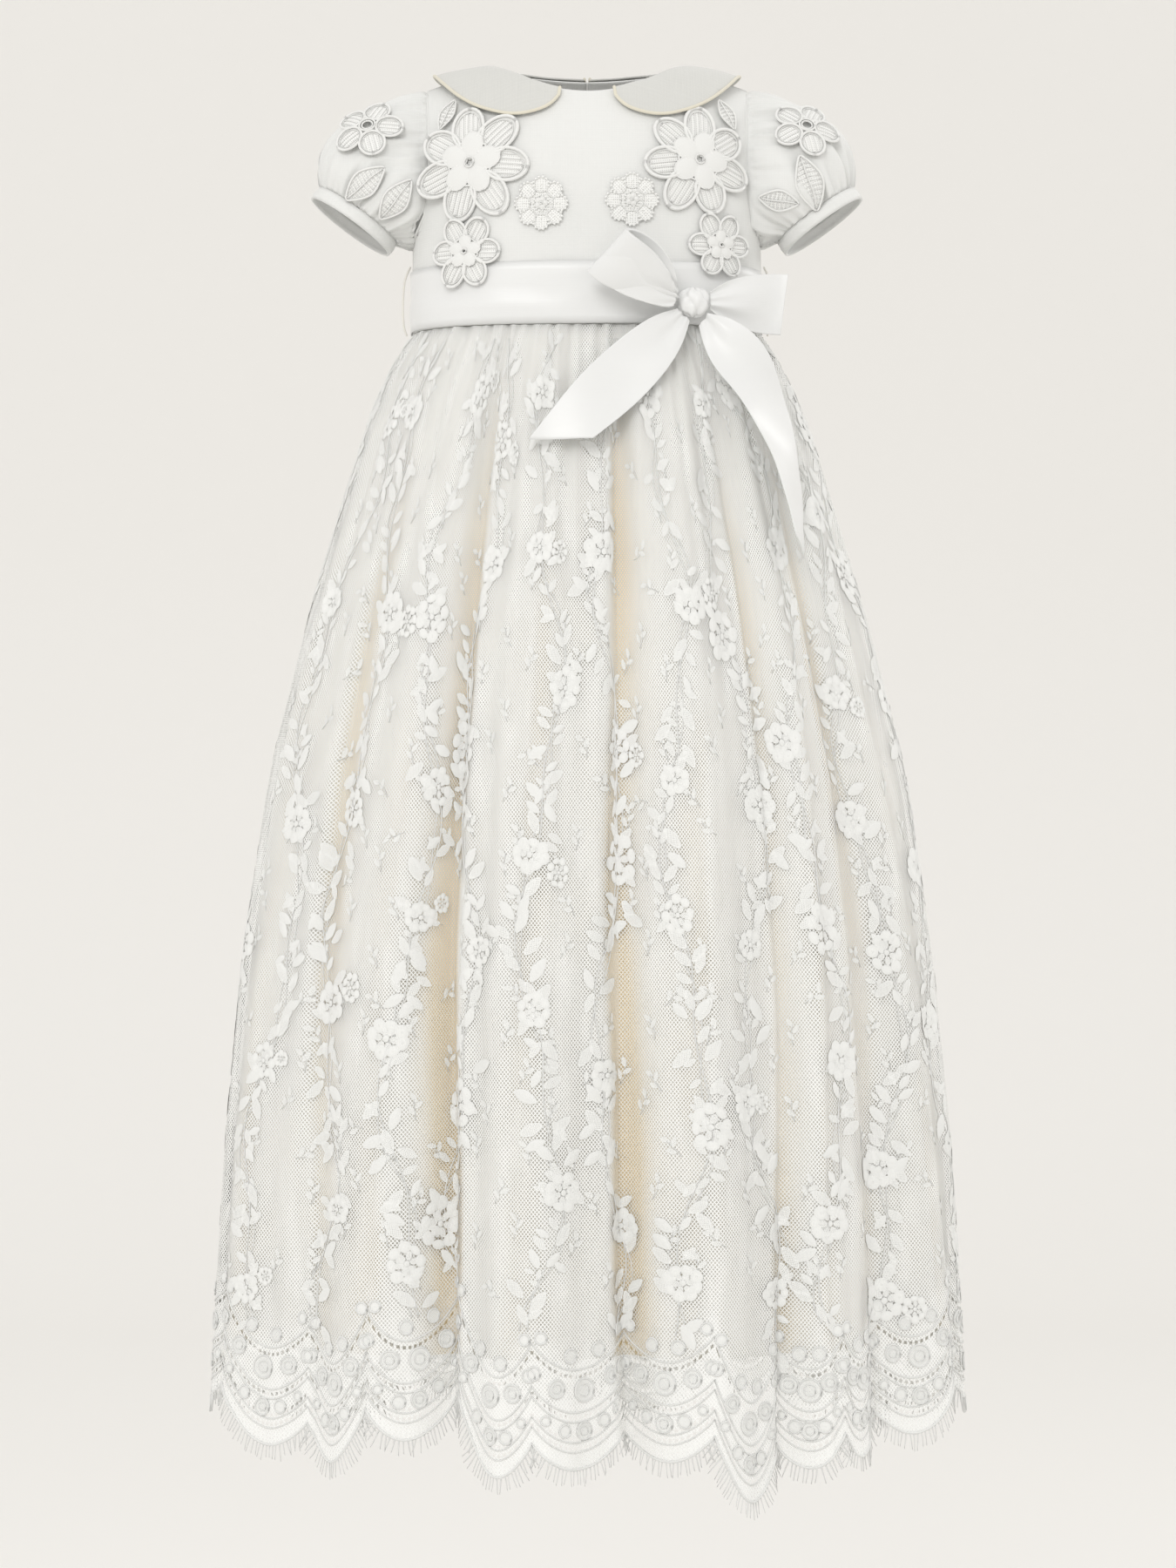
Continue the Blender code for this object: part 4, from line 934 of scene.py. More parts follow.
class ThreadWork:
    """Collects worked shapes, threads and beads over a surface, then makes one mesh of them."""

    def __init__(self, place):
        self.place = place
        self.points, self.faces, self.threads, self.flats, self.kinds = [], [], [], [], []
        self.count = 0
        self.spots = []

    def add(self, points, faces, thread, flat, kind):
        self.points.append(points)
        self.faces += [[i + self.count for i in face] for face in faces]
        self.kinds += [kind] * len(faces)
        self.threads.append(np.broadcast_to(thread, len(points)))
        self.flats.append(flat)
        self.count += len(points)

    def shape(self, pattern, centre, size, turn, height, crown=0.5, point=0.0, rim=0.8):
        """A flat worked shape. point sharpens both ends, and outside rim it is solid thread."""
        spots, faces = pattern
        radius = np.hypot(spots[:, 0], spots[:, 1])
        x = spots[:, 0] * size[0]
        y = spots[:, 1] * size[1] * (1 - point * np.abs(spots[:, 0]) ** 1.5)
        a, b = turned(x, y, turn, centre)
        thread = (radius > rim).astype(float)
        lift = height + crown * (1 - radius**2) + 0.12 * thread
        flat = np.stack((x, y), -1) * MM
        self.spots.append((len(self.points), a, b, lift))
        self.add(np.zeros((len(a), 3)), faces, thread, flat, 0)

    def thread(self, a, b, height, radius, closed=False, sides=5, taper=0.0):
        """A round thread along a flat path."""
        a, b = np.asarray(a, float), np.asarray(b, float)
        height = np.broadcast_to(np.asarray(height, float), a.shape)
        middle = self.place(a, b, height)
        above = self.place(a, b, height + 1) - middle
        above /= np.linalg.norm(above, axis=1, keepdims=True)
        if closed:
            run = np.roll(middle, -1, 0) - np.roll(middle, 1, 0)
        else:
            run = np.gradient(middle, axis=0)
        run /= np.linalg.norm(run, axis=1, keepdims=True) + 1e-12
        beside = np.cross(run, above)
        thick = radius * (1 - taper * np.linspace(0, 1, len(a)))[:, None, None] * MM
        turn = np.arange(sides) / sides * 2 * math.pi
        ring = np.cos(turn)[None, :, None] * beside[:, None] + np.sin(turn)[None, :, None] * above[:, None]
        points = (middle[:, None] + ring * thick).reshape(-1, 3)
        steps = len(a) if closed else len(a) - 1
        faces = []
        for step in range(steps):
            here, after = step * sides, (step + 1) % len(a) * sides
            for side in range(sides):
                other = (side + 1) % sides
                faces.append([here + side, after + side, after + other, here + other])
        if not closed:
            faces.append(list(range(sides)))
            faces.append([(len(a) - 1) * sides + side for side in range(sides)][::-1])
        length = np.concatenate(([0], np.cumsum(np.hypot(np.diff(a), np.diff(b)))))
        flat = np.stack(np.broadcast_arrays(length[:, None], turn[None, :] * radius), -1) * MM
        self.add(points, faces, 1.0, flat.reshape(-1, 2), 1)

    def loop(self, corners, centre, size, turn, height, radius, sides=5):
        """A thread closed to an ellipse."""
        x, y = circle(corners)
        path = turned(x * size[0], y * size[1], turn, centre)
        self.thread(*path, height, radius, closed=True, sides=sides)

    def bead(self, a, b, height, radius):
        spots, faces = BEAD
        middle = self.place(np.array([a]), np.array([b]), np.array([height]))
        flat = spots[:, :2] * radius * MM
        self.add(middle + spots * radius * MM, faces, 1.0, flat, 1)

    def make(self, name, nodes, slot, *finishes):
        if self.spots:
            a, b, lift = (np.concatenate([spot[i] for spot in self.spots]) for i in (1, 2, 3))
            placed = np.split(self.place(a, b, lift), np.cumsum([len(s[1]) for s in self.spots])[:-1])
            for (index, *_), points in zip(self.spots, placed):
                self.points[index] = points
        mesh = bpy.data.meshes.new(name)
        mesh.from_pydata(np.concatenate(self.points).tolist(), [], self.faces)
        mesh.update()
        attribute = mesh.attributes.new("thread", "FLOAT", "POINT")
        attribute.data.foreach_set("value", np.concatenate(self.threads).astype(np.float32))
        lay_uv(mesh, "cloth", np.concatenate(self.flats))
        dress(add_object(name, mesh), slot, nodes, *finishes)
        mesh.polygons.foreach_set("material_index", self.kinds)


GUIPURE = ("guipure_lace", guipure_fill, guipure_cord)
LACE = ("lace", lace_work, lace_cord)
INSIDE_BODICE = (0, 0, -0.08)
print("thread work comes in", GUIPURE[0], "and", LACE[0])

# %% [markdown]
# ## Flowers on the bodice
# Each flower is guipure lace: an open ladder of stitches in every petal, a thick corded outline, and
# a smaller smooth flower worked on its middle. The petals of the small pair have a row of beads.


# %% Petals, ladders and outlines
def add_petal(work, turn, reach, long, wide, cord, bars, height):
    """One petal with its ladder. reach is how far out its middle is, then come its half sizes."""
    centre = polar(reach, turn)
    work.shape(PETAL, centre, (long * 0.97, wide * 0.97), turn, height * 0.25, 0.25, rim=0.85)
    work.loop(26, centre, (long, wide), turn, height * 0.62, cord * 1.1, 6)
    work.loop(26, centre, (long * 0.8, wide * 0.8), turn, height * 0.5, cord * 0.4, 4)
    for bar in range(bars):
        across = (bar + 0.5) / bars * 1.5 - 0.75
        steps = np.linspace(-1, 1, 7) * math.sqrt(1 - (across / 0.82) ** 2) * 0.8
        rise = height * (0.42 + 0.1 * (1 - steps**2))
        work.thread(*turned(steps * long, across * wide, turn, centre), rise, cord * 0.3, sides=4)


def add_heart_flower(work, first, radius, height, petals=5):
    """The small smooth flower in the middle."""
    size = (radius * 0.46, radius * 0.36)
    for index in range(petals):
        turn = first + 2 * math.pi * index / petals
        centre = polar(radius * 0.56, turn)
        work.shape(PETAL, centre, size, turn, height, 0.9, rim=-1)
        work.loop(18, centre, size, turn, height + 0.1, 0.34)
    work.loop(10, (0, 0), (radius * 0.16, radius * 0.16), 0, height + 0.9, 0.42)


def add_flower(node, petals, cord, bars, heart):
    place, first, radius = under_sheet(node, INSIDE_BODICE, petals)
    work = ThreadWork(place)
    reach = (radius - cord) * 0.62
    wide = reach * math.sin(math.pi / petals) * 1.04
    work.shape(PETAL, (0, 0), (reach * 0.8, reach * 0.8), 0, 0.2, 0.3, rim=0.9)
    for index in range(petals):
        turn = first + 2 * math.pi * index / petals
        long = radius - cord - reach * (1 + 0.04 * math.sin(index * 2.4 + radius))
        add_petal(work, turn, reach, long, wide, cord, bars, 2.0 + 0.25 * math.sin(index * 1.9))
    work.loop(40, (0, 0), (reach * 0.62, reach * 0.62), 0, 1.5, cord * 0.6)
    add_heart_flower(work, first + 0.3, reach * heart, 1.7)
    work.make(f"sewn_{node}", [node], *GUIPURE)


for word, _ in SIDES:
    add_flower(f"flower_large_{word}", petals=7, cord=0.9, bars=5, heart=0.86)
    add_flower(f"flower_small_{word}", petals=6, cord=0.72, bars=4, heart=0.74)


# %% Beaded flowers
def add_beaded_flower(node, petals=8):
    place, first, radius = under_sheet(node, INSIDE_BODICE, petals)
    work = ThreadWork(place)
    share = math.sin(math.pi / petals) * 1.1
    reach = (radius - 0.9) / (1 + share)
    size = reach * share
    work.shape(PETAL, (0, 0), (reach * 0.95, reach * 0.95), 0, 0.2, 0.4, rim=0.95)
    for index in range(petals):
        turn = first + 2 * math.pi * index / petals
        centre = polar(reach, turn)
        work.shape(PETAL, centre, (size, size), turn, 0.3, 0.5, rim=0.9)
        work.loop(22, centre, (size * 0.96, size * 0.96), 0, 0.7, 0.38, 4)
        for dot in range(8):
            work.bead(*polar(size * 1.02, turn - 1.75 + 3.5 * dot / 7, centre), 1.05, 0.68)
        for dot in range(3):
            work.bead(*polar(reach * (0.62 + 0.2 * dot), turn), 1.0, 0.5)
    x, y = circle(14)
    for a, b in zip(x * reach * 0.42, y * reach * 0.42):
        work.bead(a, b, 1.1, 0.55)
    add_heart_flower(work, first, reach * 0.36, 0.9)
    work.make(f"sewn_{node}", [node], *GUIPURE)


for word, _ in SIDES:
    add_beaded_flower(f"flower_beaded_{word}")

# %% [markdown]
# ## Sprigs on the sleeves and shoulders
# On each sleeve an open flower and two long leaves are worked in the same way, and a leaf comes out
# from under the collar on each shoulder.


# %% Leaves and sleeve flowers
def add_ladder_leaf(work, turn, length, width, cord, bars, height):
    """A leaf with a rib, a corded outline and stitches like a ladder between them."""
    work.shape(PETAL, (0, 0), (length, width), turn, height * 0.25, 0.3, point=0.55, rim=0.84)
    x, y = circle(30)
    slim = 1 - 0.55 * np.abs(x) ** 1.5
    edge = turned(x * length, y * width * slim, turn)
    work.thread(*edge, height * 0.62, cord, closed=True, sides=6)
    rib = np.linspace(-0.92, 0.92, 12)
    work.thread(*turned(rib * length, 0.04 * width * np.sin(rib * 4), turn), height * 0.7, cord * 0.7)
    steps = np.array((0.0, 0.5, 0.95))
    for bar in range(bars):
        along = -0.82 + 1.64 * bar / (bars - 1)
        half = math.sqrt(1 - along**2) * (1 - 0.55 * abs(along) ** 1.5)
        for side in (-1, 1):
            x, y = (along - 0.08 * (1 - steps)) * length, side * half * steps * width
            work.thread(*turned(x, y, turn), height * 0.55, cord * 0.4, sides=4)


def add_sewn_leaf(node, inside, bars, cord=0.6):
    place, first, radius = under_sheet(node, inside, 2)
    work = ThreadWork(place)
    add_ladder_leaf(work, first, radius - cord * 0.6, radius * 0.5, cord, bars, 1.8)
    work.make(f"sewn_{node}", [node], *GUIPURE)


def add_sleeve_flower(node, inside, petals=5, cord=0.6):
    place, first, radius = under_sheet(node, inside, petals)
    work = ThreadWork(place)
    reach = (radius - cord) * 0.62
    wide = reach * math.sin(math.pi / petals)
    for index in range(petals):
        turn = first + 2 * math.pi * index / petals
        add_petal(work, turn, reach, radius - cord - reach, wide, 0.7, 4, 1.9)
    for ring, height in ((0.36, 1.9), (0.25, 1.5)):
        work.loop(20, (0, 0), (reach * ring, reach * ring), 0, height, 0.55)
    work.make(f"sewn_{node}", [node], *GUIPURE)


for word, side in SIDES:
    inside = puff_middle(side)
    add_sleeve_flower(f"sleeve_flower_{word}", inside)
    add_sewn_leaf(f"sleeve_leaf_upper_{word}", inside, 11)
    add_sewn_leaf(f"sleeve_leaf_lower_{word}", inside, 9)
    add_sewn_leaf(f"shoulder_leaf_{word}", INSIDE_BODICE, 8, cord=0.5)

# %% [markdown]
# ## Skirt
# The skirt is a wide panel of lace, gathered at the waist, so it falls in deep folds that start as
# many tiny gathers and run together on their way down. Its form is written as a formula with two
# parts: the plain skirt, wider from level to level, and the folds that stand out from it. The net,
# the lining and everything worked on the net use the same formula and so fit each other.

# %% The form of the skirt
SKIRT_DROPS = (0, 10, 40, 85, 150, 240, 340, 440, 540, 584, 640)
SKIRT_HALF_WIDTHS = (94.8, 102, 117.5, 131.5, 151, 173.5, 188, 197.5, 203.5, 205, 206.9)
# One row for each valley: its angle from the centre front in degrees, the height of the valley, and
# the height of the ridge that follows it, in millimetres.
FOLDS = np.array(
    (
        (-90, 0, 7), (-46, -5, 8), (-19, -12, 12), (5, -13, 11), (29, -6, 7), (49, -6, 7),
        (90, 0, 8), (119, -8, 10), (147, -10, 9), (178, -12, 12), (210, -8, 9), (241, -9, 8),
        (270, 0, 7),
    )
)  # fmt: skip
# One row for each scallop: how far below the waist its start and its tip are.
SCALLOPS = np.array(
    (
        (565, 579), (568, 597), (584, 602), (572, 588), (564, 604), (586, 601), (585, 598),
        (583, 619), (592, 604), (586, 600), (578, 592), (566, 580), (566, 582), (569, 596),
        (580, 606), (586, 603), (574, 596), (578, 611), (588, 606), (576, 598), (580, 609),
        (584, 600), (572, 592), (566, 581),
    )
)  # fmt: skip
HEM = 584.0
WAIST = -147.15
# Of the front and the back: half the depth of the waist, and how much deeper the skirt becomes for
# each millimetre of width.
WAIST_DEPTHS = (60.8, 53.8)
DEPTH_GROWTH = (0.71, 0.68)
SEAM_GAP = 0.15
CLOTH_LEVEL = 430.0
SMALL_TURN = 0.017


def half_width(drop):
    """Half of the skirt's width, with the corners between the levels smoothed."""
    reach = np.minimum(18.0, drop * 0.5)
    steps = (-1, -0.5, 0, 0.5, 1)
    return sum(np.interp(drop + s * reach, SKIRT_DROPS, SKIRT_HALF_WIDTHS) for s in steps) / 5


def plain_skirt(angle, drop):
    """Plan of the skirt with no folds, at an angle in radians."""
    width = half_width(drop)
    front = np.cos(angle) >= 0
    wider = width - SKIRT_HALF_WIDTHS[0]
    depth = np.where(front, *WAIST_DEPTHS) + wider * np.where(front, *DEPTH_GROWTH)
    power = 2.5 - 0.4 * np.minimum(drop / HEM, 1) ** 0.5
    x = width * np.sign(np.sin(angle)) * np.abs(np.sin(angle)) ** (2 / power)
    y = -depth * np.sign(np.cos(angle)) * np.abs(np.cos(angle)) ** (2 / power)
    return x, y


def long_folds(place, drop):
    """Heights of the middling folds, which start under the waist and run to the hem."""
    at = place + 0.14 * np.sin(place * 2.3 + 0.4) + 0.06 * np.sin(place * 5.1 + drop / 210)
    wide = np.sin(at * 2 * math.pi * 1.9 + 1.1 + 0.5 * np.sin(drop / 170))
    narrow = np.sin(at * 2 * math.pi * 3.1 + 2.6 * np.sin(at) + 0.7 * np.sin(drop / 130))
    share = 0.65 + 0.35 * np.sin(place * 1.7 + 0.6)
    return (wide * 1.5 * share + narrow * 0.8 * (1.3 - share)) * (1 - np.exp(-drop / 110))


def gathers(place, drop):
    """Heights of the fine gathers, close together at the waist, then merging and fading."""
    at = place + 0.12 * np.sin(place * 2.1 + 0.4) + 0.05 * np.sin(place * 6.3 + 1.7)
    close = np.sin(at * 2 * math.pi * 7 + 1.5 * np.sin(at * 3)) * np.exp(-drop / 40) * 0.9
    merged = np.sin(at * 2 * math.pi * 3.7 + 0.9 * np.sin(drop / 60))
    slow = np.sin(at * 2 * math.pi * 5.3 + 0.7 * np.sin(drop / 90 + place))
    return close + merged * swell_at(drop, 60, 75) * 1.1 + slow * 0.35


# One row for each tuck: its place, how far it wanders, its depth in millimetres, and the drop where
# it starts. A tuck is steep on one side, like a fold that has tipped over.
TUCKS = (
    (0.55, 0.10, 2.5, 60), (1.02, 0.08, 5.0, 30), (1.55, -0.06, 2.5, 150), (1.98, -0.05, 10.5, 20),
    (2.42, 0.08, 2.5, 90), (3.0, 0.07, 11.5, 20), (3.5, -0.08, 2.5, 190), (4.02, 0.06, 6.0, 60),
    (4.5, 0.09, 2.5, 120), (5.0, -0.06, 4.5, 40), (5.45, 0.08, 2.5, 100), (6.5, -0.08, 2.5, 80),
    (7.02, 0.08, 5.0, 40), (7.5, 0.06, 2.5, 170), (7.98, -0.06, 6.5, 20), (8.45, 0.08, 2.5, 90),
    (9.0, 0.06, 7.5, 20), (9.5, -0.07, 2.5, 160), (10.0, -0.06, 5.0, 50), (10.5, 0.08, 2.5, 90),
    (11.0, 0.07, 5.0, 30), (11.5, -0.08, 2.5, 130),
)  # fmt: skip
TUCK_STEEP = 0.035
TUCK_GENTLE = 0.16


def tucks(place, drop):
    """Heights of narrow troughs beside the folds."""
    total = 0
    for middle, wander, depth, start in TUCKS:
        centre = middle + wander * np.sin(drop / 150 + middle * 3) + 0.015 * np.sin(drop / 37 + middle)
        away = (place - centre) * (1 if wander > 0 else -1)
        side = np.exp(-((away / np.where(away < 0, TUCK_STEEP, TUCK_GENTLE)) ** 2))
        strength = 0.75 + 0.25 * np.sin(drop / 95 + middle * 5)
        total = total - depth * side * strength * np.clip((drop - start) / 110, 0, 1) ** 0.8
    return total


def skirt_at(place, drop, inset=0.0, ridge_share=1.0, gather=1.0):
    """Points of the skirt in metres. place is the fold number and the share of the way over it."""
    place = np.asarray(place, float)
    drop = np.asarray(drop, float)
    angle = np.radians(np.interp(place, np.arange(13), FOLDS[:, 0]))
    x, y = plain_skirt(angle, drop)
    x_on, y_on = plain_skirt(angle + SMALL_TURN, drop)
    x_back, y_back = plain_skirt(angle - SMALL_TURN, drop)
    out_x, out_y = -(y_on - y_back), x_on - x_back
    length = -np.hypot(out_x, out_y)
    fold = np.clip(place.astype(int), 0, 11)
    phase = place - fold
    valley = np.where(phase <= 0.5, FOLDS[fold, 1], FOLDS[fold + 1, 1])
    middle = (FOLDS[fold, 1] + FOLDS[fold + 1, 1]) / 2
    ridge = middle + (FOLDS[fold, 2] - middle) * ridge_share
    over = np.sin(math.pi * phase) ** 2
    growth = (np.minimum(drop, SKIRT_DROPS[-1]) / HEM) ** 0.7
    height = growth * (valley + (ridge - valley) * over) - inset
    calm = np.clip(np.minimum(np.abs(place), np.minimum(np.abs(place - 6), 12 - place)) * 6, 0, 1)
    height = height + (long_folds(place, drop) + gather * gathers(place, drop)) * calm
    height = height + tucks(place, drop) * calm
    side = np.where(np.cos(angle) >= 0, -SEAM_GAP, SEAM_GAP)
    points = (x + height * out_x / length, y + height * out_y / length + side, WAIST - drop)
    return np.stack(np.broadcast_arrays(*points), axis=-1) * MM


def hem_at(place):
    """How far below the waist the scalloped edge is."""
    scallop = np.asarray(place) * 2
    index = scallop.astype(int) % 24
    phase = scallop - scallop.astype(int)
    start, following = SCALLOPS[index, 0], SCALLOPS[(index + 1) % 24, 0]
    tip = SCALLOPS[index, 1] - (start + following) / 2
    return start + (following - start) * phase + tip * np.sin(math.pi * phase) ** 0.9


ring_of_places = np.linspace(0, 12, 1921)
low_ring = skirt_at(ring_of_places, CLOTH_LEVEL, gather=0)
cloth_widths = np.concatenate(
    ([0], np.cumsum(np.linalg.norm(np.diff(low_ring, axis=0), axis=1)))
)
print(f"lace needed round the skirt: {cloth_widths[-1]:.3f} m, at the waist 0.5 m")


def width_at(place):
    """How far round the flat cloth a place is, in millimetres."""
    return np.interp(place, ring_of_places, cloth_widths) / MM


def place_at(width):
    return np.interp(width * MM, cloth_widths, ring_of_places)


def panel_places(first, columns):
    """Places over half of the skirt, a hair inside its two ends."""
    places = np.linspace(first, first + 6, columns)
    places[0] += 1e-4
    places[-1] -= 1e-4
    return places


def add_panel(name, places, drops, *form):
    """A sheet of quads on the skirt's form. Gives the piece and its flat measure."""
    points = skirt_at(np.broadcast_to(places, drops.shape), drops, *form)
    index = np.arange(drops.size).reshape(drops.shape)
    faces = np.stack((index[:-1, :-1], index[1:, :-1], index[1:, 1:], index[:-1, 1:]), axis=-1)
    mesh = bpy.data.meshes.new(name)
    mesh.from_pydata(points.reshape(-1, 3).tolist(), [], faces.reshape(-1, 4).tolist())
    mesh.update()
    # How deep in a tuck each point is. The lining paints shade from it, and the net is thinner there.
    attribute = mesh.attributes.new("valley", "FLOAT", "POINT")
    depth = np.clip(-tucks(np.broadcast_to(places, drops.shape), drops) / 6, 0, 1) ** 1.2
    attribute.data.foreach_set("value", depth.ravel().astype(np.float32))
    flat = np.stack((np.broadcast_to(width_at(places), drops.shape), -drops), axis=-1) * MM
    return add_object(name, mesh), flat.reshape(-1, 2)


# %% [markdown]
# The net is one sheet for each panel, from the waist to the scalloped edge. It carries two measures:
# its own width and length, for the mesh of the net, and the distance up from the scalloped edge, for
# the border that is worked along it. Every point also records how deep in a tuck it is, from 0 to 1;
# the lining paints shade from this, and the net is thinner there.

# %% Net panels
NET_COLUMNS = 321
NET_ROWS = 112


def add_net(word, first):
    places = panel_places(first, NET_COLUMNS)
    hem = hem_at(places)
    share = np.linspace(0, 1, NET_ROWS)[:, None]
    drops = share * (hem[None, :] * share**3 + 590 * (1 - share**3))
    piece, flat = add_panel(f"skirt_net_{word}", places, drops)
    lay_uv(piece.data, "cloth", flat)
    above_edge = (hem - drops).ravel() * MM
    lay_uv(piece.data, "edge", np.stack((flat[:, 0], above_edge), axis=-1))
    dress(piece, "lace", [f"skirt_lace_{word}"], lace_net)


for word, first in PANELS:
    add_net(word, first)

# %% [markdown]
# The lining hangs a few millimetres inside the net and ends a little above its edge. It has the same
# long folds but softer ridges, and its cream colour shows through the net, most of all in the valleys,
# where it carries a painted shade in a darker tan.

# %% Lining panels
LINING_COLUMNS = 193
LINING_ROWS = 56
LINING_DROP = 545


def add_lining(word, first):
    drops = np.linspace(0, LINING_DROP, LINING_ROWS)[:, None] * np.ones(LINING_COLUMNS)
    form = (2.5 + 1.7 * drops / LINING_DROP, 0.7, 0.25)
    places = panel_places(first, LINING_COLUMNS)
    piece, flat = add_panel(f"skirt_lining_cloth_{word}", places, drops, *form)
    nodes = [f"skirt_lining_{word}"]
    finish_cloth(piece, lining_cloth, "lining_cloth", nodes, lambda points: flat, 0.6)


for word, first in PANELS:
    add_lining(word, first)

# %% [markdown]
# ## Work on the net
# Vines climb the whole skirt from the border to the waist, with leaves on both sides and open flowers
# here and there. Most leaves are an outline round a filling of finer net, and a few are worked solid.
# The cloth is gathered after it is worked, so near the waist the pattern is squeezed together.


# %% Vines, leaves and flowers
def on_skirt(width, drop, height):
    """A flat place on the lace, in millimetres round and down, put on the folded skirt."""
    width, drop, height = np.broadcast_arrays(np.asarray(width, float), drop, height)
    drop = np.maximum(drop, 1.5)
    places = place_at(width)
    points = skirt_at(places, drop)
    along = skirt_at(np.clip(places + 0.01, 0, 12), drop) - skirt_at(np.clip(places - 0.01, 0, 12), drop)
    down = skirt_at(places, drop + 1) - skirt_at(places, drop - 1)
    out = np.cross(down, along)
    out /= np.linalg.norm(out, axis=-1, keepdims=True) + 1e-12
    return points + out * height[..., None] * MM


def on_skirt_upward(a, b, height):
    """The same with the second measure going up, as in a drawing."""
    return on_skirt(a, -np.asarray(b, float), height)


skirt_width = cloth_widths[-1] / MM
VINES = 24
BORDER_HEIGHT = 60
LEAVES_LEFT_OUT = 0.18
LEAVES_TURNED_DOWN = 0.35
SOLID_LEAVES = 0.3
PAIRED_BLOSSOMS = 0.35
SPRIGS_LEFT_OUT = 0.12
rng = np.random.default_rng(7)


def add_blossom(work, centre, size, turn):
    """An open flower: uneven white lobes round a ring of small net petals."""
    tall = 1 + 0.22 * math.sin(turn * 3)
    for lobe in range(8):
        angle = turn + lobe * math.pi / 4
        full = 1 + 0.2 * math.sin(lobe * 2.4 + turn * 5)
        reach = size * (0.68 + 0.08 * full)
        spot = (centre[0] + reach * math.cos(angle), centre[1] + reach * tall * math.sin(angle))
        work.shape(LEAF, spot, (size * 0.27 * full, size * 0.33), angle, 0.35, 0.4, rim=0.6)
    for petal in range(6):
        angle = turn + 0.4 + petal * math.pi / 3
        spot = polar(size * 0.4, angle, centre)
        work.shape(LEAF, spot, (size * 0.24, size * 0.16), angle, 0.4, 0.3, rim=0.86)
    work.shape(LEAF, centre, (size * 0.15, size * 0.15), 0, 0.6, 0.4, rim=-1)


def add_vine(work, middle, bottom):
    """One garland from the border to the waist."""
    phase, second = rng.uniform(0, 2 * math.pi, 2)

    def sway(drop):
        return middle + 11 * np.sin(drop / 41 + phase) + 4 * np.sin(drop / 15 + second)

    stem = np.arange(8, bottom, 4.0)
    work.thread(sway(stem), -stem, 0.35, 0.34, sides=4)
    twin = sway(stem) + 4.5 * np.sin(stem / 13 + second)
    work.thread(twin, -stem, 0.3, 0.3, sides=4)
    next_blossom = rng.uniform(20, 80)
    drop = 14.0
    while drop < bottom:
        if drop > next_blossom:
            size = rng.uniform(8.0, 13.0)
            centre = (float(sway(drop)) + rng.uniform(-4, 4), -drop)
            add_blossom(work, centre, size, phase + drop)
            if rng.random() < PAIRED_BLOSSOMS:
                beside = (centre[0] + 1.5 * size, centre[1] - rng.uniform(-0.9, 0.9) * size)
                add_blossom(work, beside, size * 0.62, phase - drop)
            next_blossom = drop + rng.uniform(55, 120)
        for side in (-1, 1):
            if rng.random() < LEAVES_LEFT_OUT:
                continue
            length = rng.uniform(4.0, 7.5)
            turn = math.pi / 2 - side * rng.uniform(0.35, 1.2)
            if rng.random() < LEAVES_TURNED_DOWN:
                turn = -turn
            reach = rng.uniform(0.9, 1.9) * length
            spot = (
                float(sway(drop)) + reach * math.cos(turn),
                -drop + reach * math.sin(turn) + rng.uniform(-3, 3),
            )
            rim = -1 if rng.random() < SOLID_LEAVES else 0.86
            work.shape(LEAF, spot, (length, length * 0.48), turn, 0.3, 0.4, point=0.35, rim=rim)
        drop += rng.uniform(6.5, 9.5)


def add_vines(word, first):
    work = ThreadWork(on_skirt_upward)
    for vine in range(first, first + VINES // 2):
        middle = skirt_width * (vine + 0.5 + rng.uniform(-0.16, 0.16)) / VINES
        add_vine(work, middle, float(hem_at(place_at(middle))) - BORDER_HEIGHT)
    work.make(f"lace_vines_{word}", [], *LACE)


for word, first in (("front", 0), ("back", VINES // 2)):
    add_vines(word, first)

# %% [markdown]
# Between the vines the net is filled with fine sprigs, which are only outlined. They are thin threads
# bent to leaves on a short stalk, so the net looks fuller there without turning solid white.


# %% Sprigs between the vines
SPRIG_ROWS = np.arange(24, 520, 21.0)
SPRIG_SPACING = 30


def add_sprig(work, place, turn, bend):
    stalk = np.linspace(0, 11, 4)
    work.thread(*turned(stalk, 1.5 * np.sin(stalk / 4 + bend), turn, place), 0.25, 0.24, sides=3)
    for step in range(3):
        lean = turn + (-0.75 if step % 2 else 0.75)
        middle = polar(2.6, lean, polar(3 + 3.4 * step, turn, place))
        work.shape(SPRIG, middle, (3.0, 1.5), lean, 0.2, 0.15, point=0.3, rim=0.8)


def add_sprigs(word, first):
    work = ThreadWork(on_skirt_upward)
    start, end = width_at(first), width_at(first + 6)
    count = int((end - start) / SPRIG_SPACING)
    for row, drop in enumerate(SPRIG_ROWS):
        for column in range(count):
            if rng.random() < SPRIGS_LEFT_OUT:
                continue
            shift = (column + 0.25 + 0.5 * (row % 2) + rng.uniform(-0.2, 0.2)) / count
            place = (start + (end - start) * min(shift, 0.995), -drop + rng.uniform(-5, 5))
            add_sprig(work, place, math.pi / 2 + rng.normal(0, 0.55), column)
    work.make(f"lace_sprigs_{word}", [], *LACE)


for word, first in PANELS:
    add_sprigs(word, first)

# %% [markdown]
# The border follows the scalloped edge. Rings filled with net and smaller discs worked more closely
# sit in three rows over every scallop, and six cords run along it, the thickest on the edge itself.

# %% Border along the edge
# How far above the edge each cord runs, and its radius, in millimetres.
BORDER_CORDS = ((0.7, 0.75), (9.5, 0.4), (14.5, 0.4), (25, 0.4), (30, 0.45), (52, 0.45))
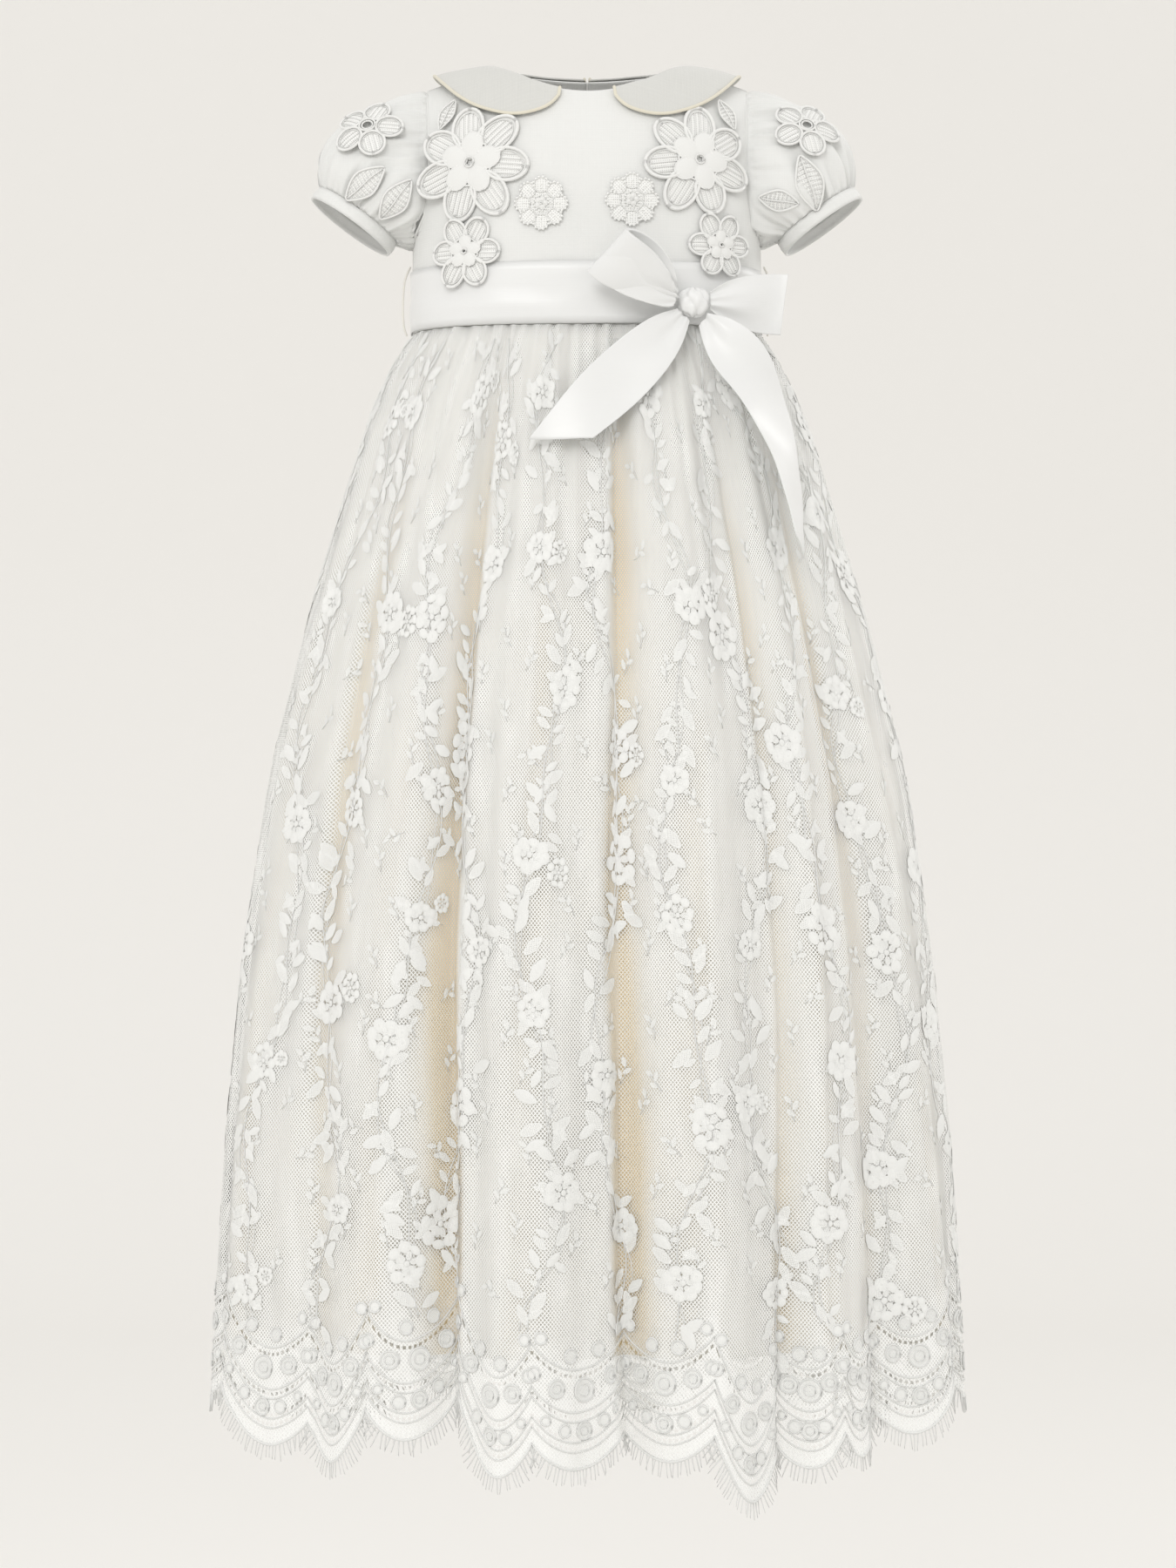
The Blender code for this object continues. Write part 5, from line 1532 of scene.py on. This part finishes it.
# The share of the way over a scallop, the height above the edge and the radius of each ring.
BORDER_RINGS = (
    (0.5, 20, 4.6), (0.3, 20, 3.4), (0.7, 20, 3.4), (0.12, 20, 2.4), (0.88, 20, 2.4),
    (0.5, 41, 6.0), (0.22, 40, 4.6), (0.78, 40, 4.6), (0.02, 38, 3.4), (0.97, 38, 3.4),
    (0.36, 59, 3.6), (0.64, 59, 3.6), (0.08, 60, 3.0), (0.92, 60, 3.0),
)  # fmt: skip


def add_border(word, first):
    work = ThreadWork(on_skirt_upward)
    places = np.linspace(first, first + 6, 337)[1:-1]
    for up, thick in BORDER_CORDS:
        cord = (width_at(places), up - hem_at(places))
        work.thread(*cord, 0.25, thick, sides=5 if up < 1 else 4)
    for scallop in range(first * 2, first * 2 + 12):
        start, end = width_at(scallop / 2), width_at((scallop + 1) / 2)
        for share, up, size in BORDER_RINGS:
            at = start + (end - start) * share
            middle = (at, up - float(hem_at(place_at(at))))
            rim = 0.86 if size > 3.5 else 0.6
            work.shape(LEAF, middle, (size, size), 0, 0.2, 0.3, rim=rim)
            work.loop(14, middle, (size, size), 0, 0.5, 0.5, 4)
            if size > 4:
                work.loop(14, middle, (size / 2, size / 2), 0, 0.5, 0.32, 4)
    work.make(f"lace_border_{word}", [], *LACE)


for word, first in PANELS:
    add_border(word, first)

# %% [markdown]
# The edge ends in a fringe of loose threads, about nine millimetres long, like eyelashes. Each thread
# is modelled, four-sided and tapered, and hangs a little outwards from the scallop.

# %% Fringe
FRINGE_SPACING = 2.3
FRINGE_LENGTH = 8.6


def add_fringe(word, first):
    work = ThreadWork(on_skirt_upward)
    places = np.linspace(first, first + 6, 4000)[8:-8]
    edge = skirt_at(places, hem_at(places))
    run = np.concatenate(([0], np.cumsum(np.linalg.norm(np.diff(edge, axis=0), axis=1)))) / MM
    count = int(run[-1] / FRINGE_SPACING)
    along = np.linspace(0, 1, 4)
    step = 0.02
    for root in np.interp(np.linspace(0.5, run[-1] - 0.5, count), run, places):
        on, back = width_at(min(root + step, 12)), width_at(max(root - step, 0))
        slope = float(hem_at(min(root + step, 11.9999)) - hem_at(max(root - step, 0))) / (on - back)
        lean = -np.clip(slope, -1.5, 1.5) * 0.42 + rng.normal(0, 0.09)
        length = FRINGE_LENGTH + rng.normal(0, 0.7)
        drop = float(hem_at(root)) - 1.2 + length * along
        curl = rng.normal(0, 0.5) * along**2
        across = width_at(root) + lean * length * along + curl
        work.thread(across, -drop, 0.2 + 0.5 * along, 0.5, sides=4, taper=0.6)
    work.make(f"fringe_threads_{word}", [f"lace_fringe_{word}"], *LACE)


for word, first in PANELS:
    add_fringe(word, first)

# %% [markdown]
# ## Small things
# Two loops of thread at the side seams carry the sash, and a blank label is sewn inside the back of
# the neck.


# %% Belt loops and label
def add_thread_loop(word):
    """A smooth copy of the whole solid."""
    node = f"belt_loop_{word}"
    piece = rounded(f"thread_loop_{word}", joined_copy(node), 2)
    lay_measure(piece, lambda points: points[:, [1, 2]])
    dress(piece, "ivory_cloth", [node], ivory_thread)


for word, _ in SIDES:
    add_thread_loop(word)
label = rounded("neck_label_tape", outer_side("neck_label", lambda p: Vector((0, -1, 0))), 2)
finish_cloth(label, label_tape, "label_tape", ["neck_label"], seen_from_front, 0.5)

# %% [markdown]
# ## The cut of the cloth
# The skirt panels were cut wide and straight and then gathered, the sleeves were cut with a rounded
# head, and the rest lies as it was cut. Last, the pieces sewn on each sleeve are listed.


for word, _ in SIDES:
    sleeve_work = [f"sewn_sleeve_flower_{word}"]
    sleeve_work += [f"sewn_sleeve_leaf_upper_{word}", f"sewn_sleeve_leaf_lower_{word}"]
